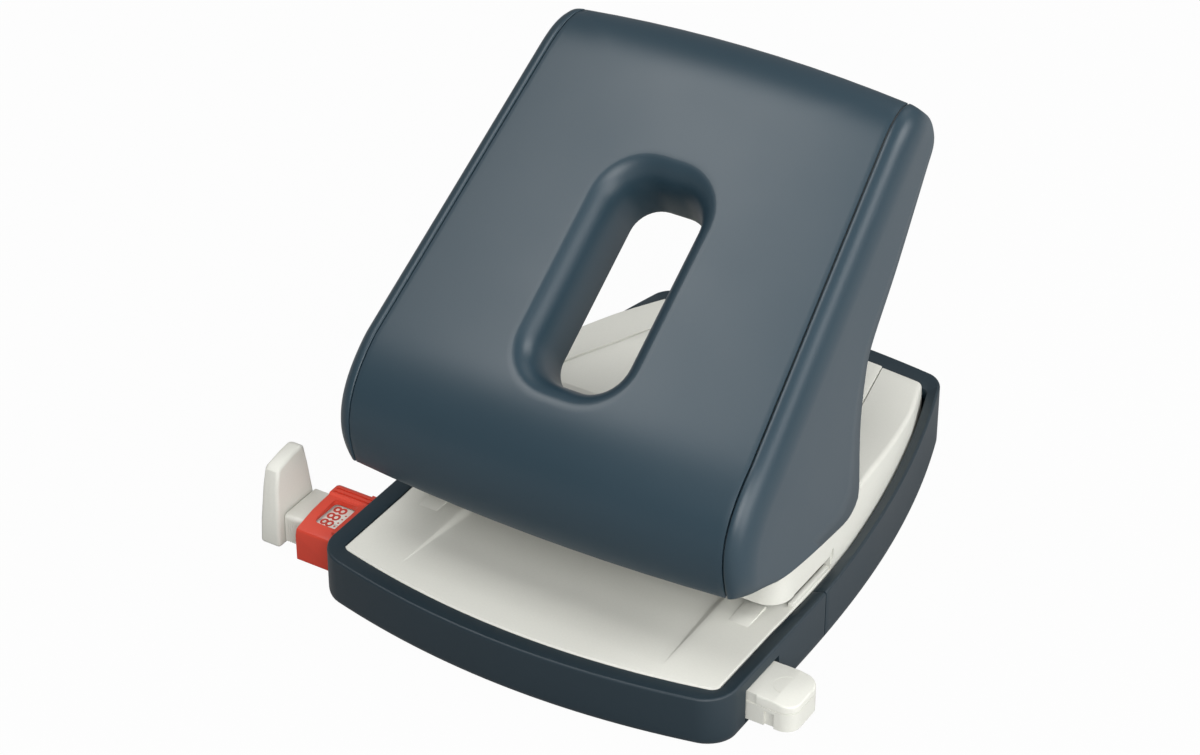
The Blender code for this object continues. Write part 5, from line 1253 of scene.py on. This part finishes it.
@dataclass
class PaperGuide:
    """The sliding guide: its bar, the upright stop, the end block, and the format marks."""

    half: float = 0.0062
    low_z: float = 0.0024
    top_z: float = 0.0096
    left_x: float = -0.0685
    right_x: float = 0.0500
    edge: float = 0.0009
    block_length: float = 0.0125
    block_corner: float = 0.0034
    stop_thickness: float = 0.0055
    stop_top: float = 0.0038
    stop_low_z: float = 0.0012
    stop_height: float = 0.0219
    stop_width: float = 0.0148
    stop_middle_y: float = -0.0009
    stop_shares: tuple = ((-1, 0.0, 0.0), (-0.97, 0.30, 0.2), (-0.88, 0.70, 0.7), (-0.77, 0.90, 0.9),
                          (-0.66, 0.935, 0.95), (0.0, 0.985, 1.0), (0.48, 1.0, 1.0), (0.62, 0.96, 1.0),
                          (0.76, 0.70, 0.7), (0.92, 0.30, 0.2), (1, 0.0, 0.0))
    strip: tuple = (-0.0620, 0.0280, 0.0033, 0.0005)
    mark_x: float = -0.0574
    mark_y: float = -0.0010
    digits_length: float = 0.0076
    digit_height: float = 0.0033
    digits_shift: float = -0.0010
    dots: tuple = (0.0013, 0.00025, (-0.0030, -0.0015, 0.0, 0.0015))
    digits_bold: float = 0.012
    digits_thickness: float = 0.00003
    dot_thickness: float = 0.00004
    ribs: tuple[float, float, float] = (0.0012, 0.0036, 0.00012)
    ribs_low: float = 0.0012
    stop_round: float = 0.0009
    end_slope: tuple[float, float] = (0.0050, 9.0)
    end_edge: float = 0.0004
    end_edge_reach: float = 0.0015
    cap_share: float = 0.66
    cap_line: tuple[float, float] = (0.00010, 0.00012)
    slot_x: tuple[float, float] = (0.0052, 0.0076)
    slot_depth: float = 0.0006
    slot_drop: float = 0.0010
    nail: tuple[float, float, float] = (0.0030, 0.0028, 0.00006)
    neck: tuple[float, float] = (0.0033, 0.0003)
    label_edge: float = 0.00012
    # How far cutters go past a side and above the guide
    past: float = 0.001
    above: float = 0.02
    touch: float = 1e-5

    def build(self) -> None:
        """Models the guide's pieces and puts them on the guide."""
        place_piece(dress(self.bar(), LIGHT_ABS), Body.GUIDE, Slot.LIGHT_PLASTIC, "guide_bar")
        place_piece(dress(self.stop(), LIGHT_ABS), Body.GUIDE, Slot.LIGHT_PLASTIC, "guide_stop")
        place_piece(dress(self.end_block(), LIGHT_ABS), Body.GUIDE, Slot.LIGHT_PLASTIC, "guide_bar_end")
        place_piece(dress(self.label(), LIGHT_ABS), Body.GUIDE, Slot.LIGHT_PLASTIC, "format_strip")
        self.marks()

    def bar(self) -> Object:
        """The bar: a block with rounded upper edges, a seat for the strip and fine ribs by the stop."""
        bar = block("guide_bar_body", (self.left_x + GAP, -self.half, self.low_z),
                    (self.right_x, self.half, self.top_z))
        round_edges(bar, self.edge, 4, lambda a, b: (
            min(a.z, b.z) > self.top_z - self.touch and abs(a.x - b.x) > self.block_length))
        start, end, half, thick = self.strip
        carve(bar, block("seat", (start - GAP, -half - GAP, self.top_z - thick - GAP),
                         (end + GAP, half + GAP, self.top_z + OVERRUN)))
        first, last, fine = self.ribs
        for across in spaced(self.left_x + first, self.left_x + last, 4):
            carve(bar, block("rib", (across - fine, -self.half - self.past, self.low_z - self.past),
                             (across + fine, -self.half + fine, self.top_z - self.ribs_low)))
        return bar

    def stop(self) -> Object:
        """The upright stop, thinner and narrower towards its crowned top, with rounded edges."""
        half = self.stop_width / 2
        inner, outer = [], []
        for across, up, thin in self.stop_shares:
            depth = self.stop_middle_y + across * half
            height = self.stop_low_z + up * self.stop_height
            taper = (self.stop_thickness - self.stop_top) * thin
            inner.append((self.left_x - taper * 0.3, depth, height))
            outer.append((self.left_x - self.stop_thickness + taper * 0.7, depth, height))
        stop = stack("guide_upright_stop", [outer, inner])
        return soften(stop, self.stop_round, 4, 40)

    def end_block(self) -> Object:
        """The block at the right end, rounded in plan, with its cap line, slot and notch."""
        left, right, corner = self.right_x + GAP, self.right_x + self.block_length, self.block_corner
        outline = [(left, -self.half), *arc((right - corner, -self.half + corner), corner, -0.25, 0, 8),
                   *arc((right - corner, self.half - corner), corner, 0, 0.25, 8), (left, self.half)]
        end = plate("guide_end_block", outline, self.low_z, self.top_z)
        reach, tilt, past = self.end_slope[0], radians(self.end_slope[1]), self.past
        split_at(end, (right - reach, 0, self.top_z), (sin(tilt), 0, cos(tilt)), keep_far=False)
        round_edges(end, self.end_edge, 3, lambda a, b: (
            min(a.z, b.z) > self.top_z - self.end_edge_reach and max(a.x, b.x) > left + self.touch * 10))
        groove, (fine, deep) = mix(self.low_z, self.top_z, self.cap_share), self.cap_line
        ring = block("cap_line", (left - past, -self.half - past, groove - fine),
                     (right + past, self.half + past, groove + fine))
        core = plate("core", [(x if x < left + self.touch else x - deep, y - (deep if y > 0 else -deep))
                              for x, y in outline], 0, self.above)
        carve(ring, core)
        slot = block("slot", (left + self.slot_x[0], -self.half - past, self.low_z - past),
                     (left + self.slot_x[1], -self.half + self.slot_depth, groove - self.slot_drop))
        outer, inner, sunk = self.nail
        middle = right - reach
        nail = carve(post("nail", outer, (middle, 0, self.top_z - sunk), (middle, 0, self.above), 48),
                     post("inner", inner, (middle, 0, 0), (middle, 0, self.above * 1.5), 48),
                     block("half", (middle, -self.half * 2, 0), (right, self.half * 2, self.above * 1.5)))
        length, narrow = self.neck
        necks = []
        for side in Side:
            low, high = sorted((side.value * (self.half - narrow), side.value * self.half * 2))
            necks.append(block("neck", (left - past, low, groove), (left + length, high, self.above)))
        return carve(end, ring, slot, nail, *necks)

    def label(self) -> Object:
        """The strip inlaid in the bar, with softened edges."""
        start, end, half, thick = self.strip
        label = block("format_label_strip", (start, -half, self.top_z - thick), (end, half, self.top_z))
        return soften(label, self.label_edge, 2)

    def marks(self) -> None:
        """The format's plain digits and its dots, printed on the strip under the window."""
        clear()
        bpy.ops.object.text_add(rotation=(0, 0, radians(90)))
        text = bpy.context.object
        text.data.body = "888"
        text.data.align_x = text.data.align_y = "CENTER"
        text.data.extrude = self.past
        text.data.offset = self.digits_bold
        bpy.ops.object.convert(target="MESH")
        digits = settle("format_digits")
        low, high = [[pick(point.co[axis] for point in digits.data.vertices) for axis in (0, 1, 2)]
                     for pick in (min, max)]
        wanted = (self.digit_height, self.digits_length, self.digits_thickness)
        digits.scale = [size / (last - first) for size, first, last in zip(wanted, low, high)]
        digits.location = [place - scale * (first + last) / 2 for place, scale, first, last in zip(
            (self.mark_x + self.digits_shift, self.mark_y, self.top_z), digits.scale, low, high)]
        bpy.ops.object.transform_apply(location=True, rotation=True, scale=True)
        shift, radius, places = self.dots
        across, half = self.mark_x + shift, self.dot_thickness / 2
        dots = [post("dot", radius, (across, self.mark_y + place, self.top_z - half),
                     (across, self.mark_y + place, self.top_z + half), 16) for place in places]
        take(digits)
        for dot in dots:
            dot.select_set(True)
        bpy.ops.object.join()
        place_piece(dress(digits, INK), Body.GUIDE, Slot.RED_PLASTIC)


@dataclass
class FormatWindow:
    """The red body round the bar on the left, with a sight over the format strip."""

    base_half: float = 0.0516
    length: float = 0.0112
    width: float = 0.0184
    low_z: float = 0.0006
    crest: tuple = (
        (0.0092, 0.0096), (0.0088, 0.0104), (0.0078, 0.0113), (0.0068, 0.0118), (0.0041, 0.0118),
        (0.0036, 0.0113), (0.0010, 0.0112), (-0.0028, 0.0109), (-0.0058, 0.0103), (-0.0084, 0.0097),
        (-0.0089, 0.0095), (-0.0091, 0.0092), (-0.0092, 0.0088))
    low_edge: float = 0.0006
    end_edge: float = 0.0004
    end_edge_low_z: float = 0.0070
    grooves: tuple[float, float] = (0.0047, 0.0060)
    groove_start: float = 0.0009
    groove_half: float = 0.00025
    groove_z: float = 0.01145
    sight_x: tuple[float, float] = (-0.0605, -0.0542)
    sight_y: tuple[float, float] = (-0.0056, 0.0030)
    sight_low_z: float = 0.006
    sight_corner: float = 0.0010
    collar_low_z: float = 0.0023
    way_low_z: float = 0.0008
    above: float = 0.02
    touch: float = 1e-6
    bar_half: float = 0.0062
    bar_low_z: float = 0.0024
    bar_top_z: float = 0.0096
    collar: float = 0.0016
    wall: float = 0.0020

    def build(self) -> None:
        """Models the window and puts it on the base."""
        half, right = self.width / 2, -self.base_half - GAP
        left = right - self.length
        low, edge, fine = self.low_z, self.low_edge, self.groove_half
        outline = [(-half, low + edge), (-half + edge, low), (half, low), *self.crest]
        body = plate("format_window_body", outline, left, right, "YZ")
        round_edges(body, self.end_edge, 3, lambda a, b: (
            max(a.x, b.x) < left + self.touch and min(a.z, b.z) > self.end_edge_low_z))
        carve(body, *[block("groove", (left + self.groove_start, depth - fine, self.groove_z),
                            (right + OVERRUN, depth + fine, self.above)) for depth in self.grooves])
        collar_half, bore = self.bar_half + GAP + self.collar, self.bar_half + GAP
        collar_top = self.bar_top_z + GAP + self.collar
        carve(body, block("collar", (right - OVERRUN, -collar_half, self.collar_low_z),
                          (right + self.wall + GAP, collar_half, collar_top)), joining=True)
        sight = block("sight", (self.sight_x[0], self.sight_y[0], self.sight_low_z),
                      (self.sight_x[1], self.sight_y[1], self.above))
        round_edges(sight, self.sight_corner, 4, lambda a, b: abs(a.z - b.z) > self.sight_low_z / 2)
        carve(body, block("bore", (left - OVERRUN, -bore, self.bar_low_z - GAP),
                          (right + self.wall + OVERRUN, bore, self.bar_top_z + GAP)),
              block("way", (right + GAP, -bore, self.way_low_z),
                    (right + self.wall + OVERRUN, bore, self.sight_low_z)), sight)
        place_piece(dress(body, RED_ABS), Body.BASE, Slot.RED_PLASTIC, "format_window")


@dataclass
class Hardware:
    """The frame's own nodes that keep their CAD shape, each with its real finish."""

    finishes: tuple = (
        (ZINC, ("base_plate", "punch_frame", "guide_bush_left", "guide_bush_right", "lever_frame")),
        (GROUND, ("die_left", "die_right", "punch_pin_left", "punch_pin_right", "hinge_pin", "press_bar")),
        (SPRING, ("pin_spring_left", "pin_spring_right", "hinge_clip_left", "hinge_clip_right",
                  "guide_detent", "base_screw_1", "base_screw_2", "base_screw_3", "base_screw_4",
                  "cover_screw_left", "cover_screw_right", "frame_screw_left", "frame_screw_right")),
        (RUBBER, ("front_pad", "rear_foot_left", "rear_foot_right")))

    def build(self) -> None:
        """Assigns each node its finish."""
        for finish, names in self.finishes:
            for name in names:
                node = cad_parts[name]
                node.data.materials.clear()
                node.data.materials.append(finish.make())
                log.info("%s: %s", name, finish.name)


@dataclass
class PinSprings:
    """The two return springs, copied from the frame's coils."""

    seat_z: float = 0.0198
    travel: float = 0.0071

    def build(self) -> None:
        """Models both springs and puts them on the base."""
        for side in Side:
            self.spring(side.name.lower())

    def spring(self, side: str) -> None:
        """One spring: the node's coil with its own mesh, on the base."""
        take(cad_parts[f"pin_spring_{side}"])
        bpy.ops.object.duplicate()
        coil = bpy.context.object
        coil.name = coil.data.name = f"return_spring_{side}"
        for key in list(coil.keys()):
            del coil[key]
        place_piece(dress(coil, SPRING, 60), Body.BASE, Slot.SPRING_STEEL, f"pin_spring_{side}")
        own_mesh(coil)


@dataclass
class Studio:
    """A plain pale floor, soft light and the photograph's camera."""

    eye: tuple = (0.3217, -0.502, 0.4679)
    turn: tuple = (radians(90 - 33.9), 0.0, radians(31.73))
    lens: float = 103.56
    sky: float = 0.28
    # Each lamp: name, place, watts, size; all look at the lever's middle
    lamps: tuple = (
        ("key", (-0.45, -0.16, 1.05), 5.0, 0.6),
        ("right", (0.92, -0.28, 0.34), 5.0, 0.7),
        ("right_rear", (0.75, 0.38, 0.60), 3.5, 0.45),
        ("fill", (0.44, -0.66, 0.56), 6.0, 0.6),
        ("rear", (0.15, 0.80, 0.95), 1.2, 0.7))
    # Share of the white floor that glossy rays see: little on the whole, most over a white card at the right
    mirrored: tuple[float, float] = (0.10, 0.75)
    card_x: tuple[float, float] = (0.046, 0.075)
    target: tuple = (0.0, 0.03, 0.05)
    floor_size: float = 6.0
    floor_grey: float = 0.35
    floor_white_share: float = 0.97

    def build(self) -> None:
        """Sets up the floor, the lamps, the world and the camera."""
        self.floor()
        for name, place, watts, size in self.lamps:
            clear()
            turn = (Vector(self.target) - Vector(place)).to_track_quat("-Z", "Y").to_euler()
            bpy.ops.object.light_add(type="AREA", location=place, rotation=turn)
            lamp = bpy.context.object
            lamp.name = f"lamp_{name}"
            lamp.data.energy = watts
            lamp.data.shape = "DISK"
            lamp.data.size = size
        clear()
        bpy.ops.object.camera_add(location=self.eye, rotation=self.turn)
        camera = bpy.context.object
        camera.name = "photo_camera"
        camera.data.lens = self.lens
        camera.data.sensor_width = 36
        camera.data.clip_start = 0.01
        bpy.context.scene.camera = camera
        bpy.context.scene.view_settings.view_transform = "Standard"
        self.world()

    def backdrop(self, tree: bpy.types.NodeTree, lit: bpy.types.Node, share: float) -> bpy.types.Node:
        """Mixes a lit surface with plain white for the camera and for what mirrors and glass show."""
        path = add_node(tree, "LightPath")
        place = add_node(tree, "SeparateXYZ", {0: (add_node(tree, "TexCoord"), "Object")})
        card = add_node(tree, "MapRange", {"Value": (place, "X"), "From Min": self.card_x[0],
                                           "From Max": self.card_x[1], "To Min": self.mirrored[0],
                                           "To Max": self.mirrored[1]})
        sheen = add_node(tree, "Math", {0: (path, "Is Glossy Ray"), 1: card}, operation="MULTIPLY")
        seen = add_node(tree, "Math", {0: (path, "Is Camera Ray"), 1: sheen}, operation="MAXIMUM")
        seen = add_node(tree, "Math", {0: seen, 1: (path, "Is Transmission Ray")}, operation="MAXIMUM")
        amount = add_node(tree, "Math", {0: seen, 1: share}, operation="MULTIPLY")
        white = add_node(tree, "Emission", {"Color": (1, 1, 1, 1), "Strength": 1.0})
        return add_node(tree, "MixShader", {0: amount, 1: lit, 2: white})

    def floor(self) -> None:
        """The pale floor, which keeps a faint shadow."""
        clear()
        bpy.ops.mesh.primitive_plane_add(size=self.floor_size, location=(0, 0, 0))
        floor = settle("studio_floor")
        material = bpy.data.materials.new("matt_white_floor")
        material.use_nodes = True
        tree = material.node_tree
        tree.nodes.clear()
        grey = self.floor_grey
        lit = add_node(tree, "BsdfDiffuse", {"Color": (grey, grey, grey, 1), "Roughness": 1.0})
        add_node(tree, "OutputMaterial", {"Surface": self.backdrop(tree, lit, self.floor_white_share)})
        floor.data.materials.append(material)

    def world(self) -> None:
        """The even pale light all round."""
        world = bpy.data.worlds.new("studio_sky")
        world.use_nodes = True
        tree = world.node_tree
        tree.nodes.clear()
        sky = add_node(tree, "Background", {"Color": (1, 1, 1, 1), "Strength": self.sky})
        add_node(tree, "OutputWorld", {"Surface": sky})
        bpy.context.scene.world = world


def main() -> None:
    """Builds the punch, piece by piece, and the studio round it."""
    logging.basicConfig(level=logging.INFO, format="%(message)s")
    plan = BasePlan()
    BaseShells(plan).build()
    PaperTable(plan).build()
    RearCover(plan).build()
    Lever().build()
    PaperGuide().build()
    FormatWindow().build()
    Hardware().build()
    PinSprings().build()
    Studio().build()
    clear()


if __name__ == "__main__":
    main()
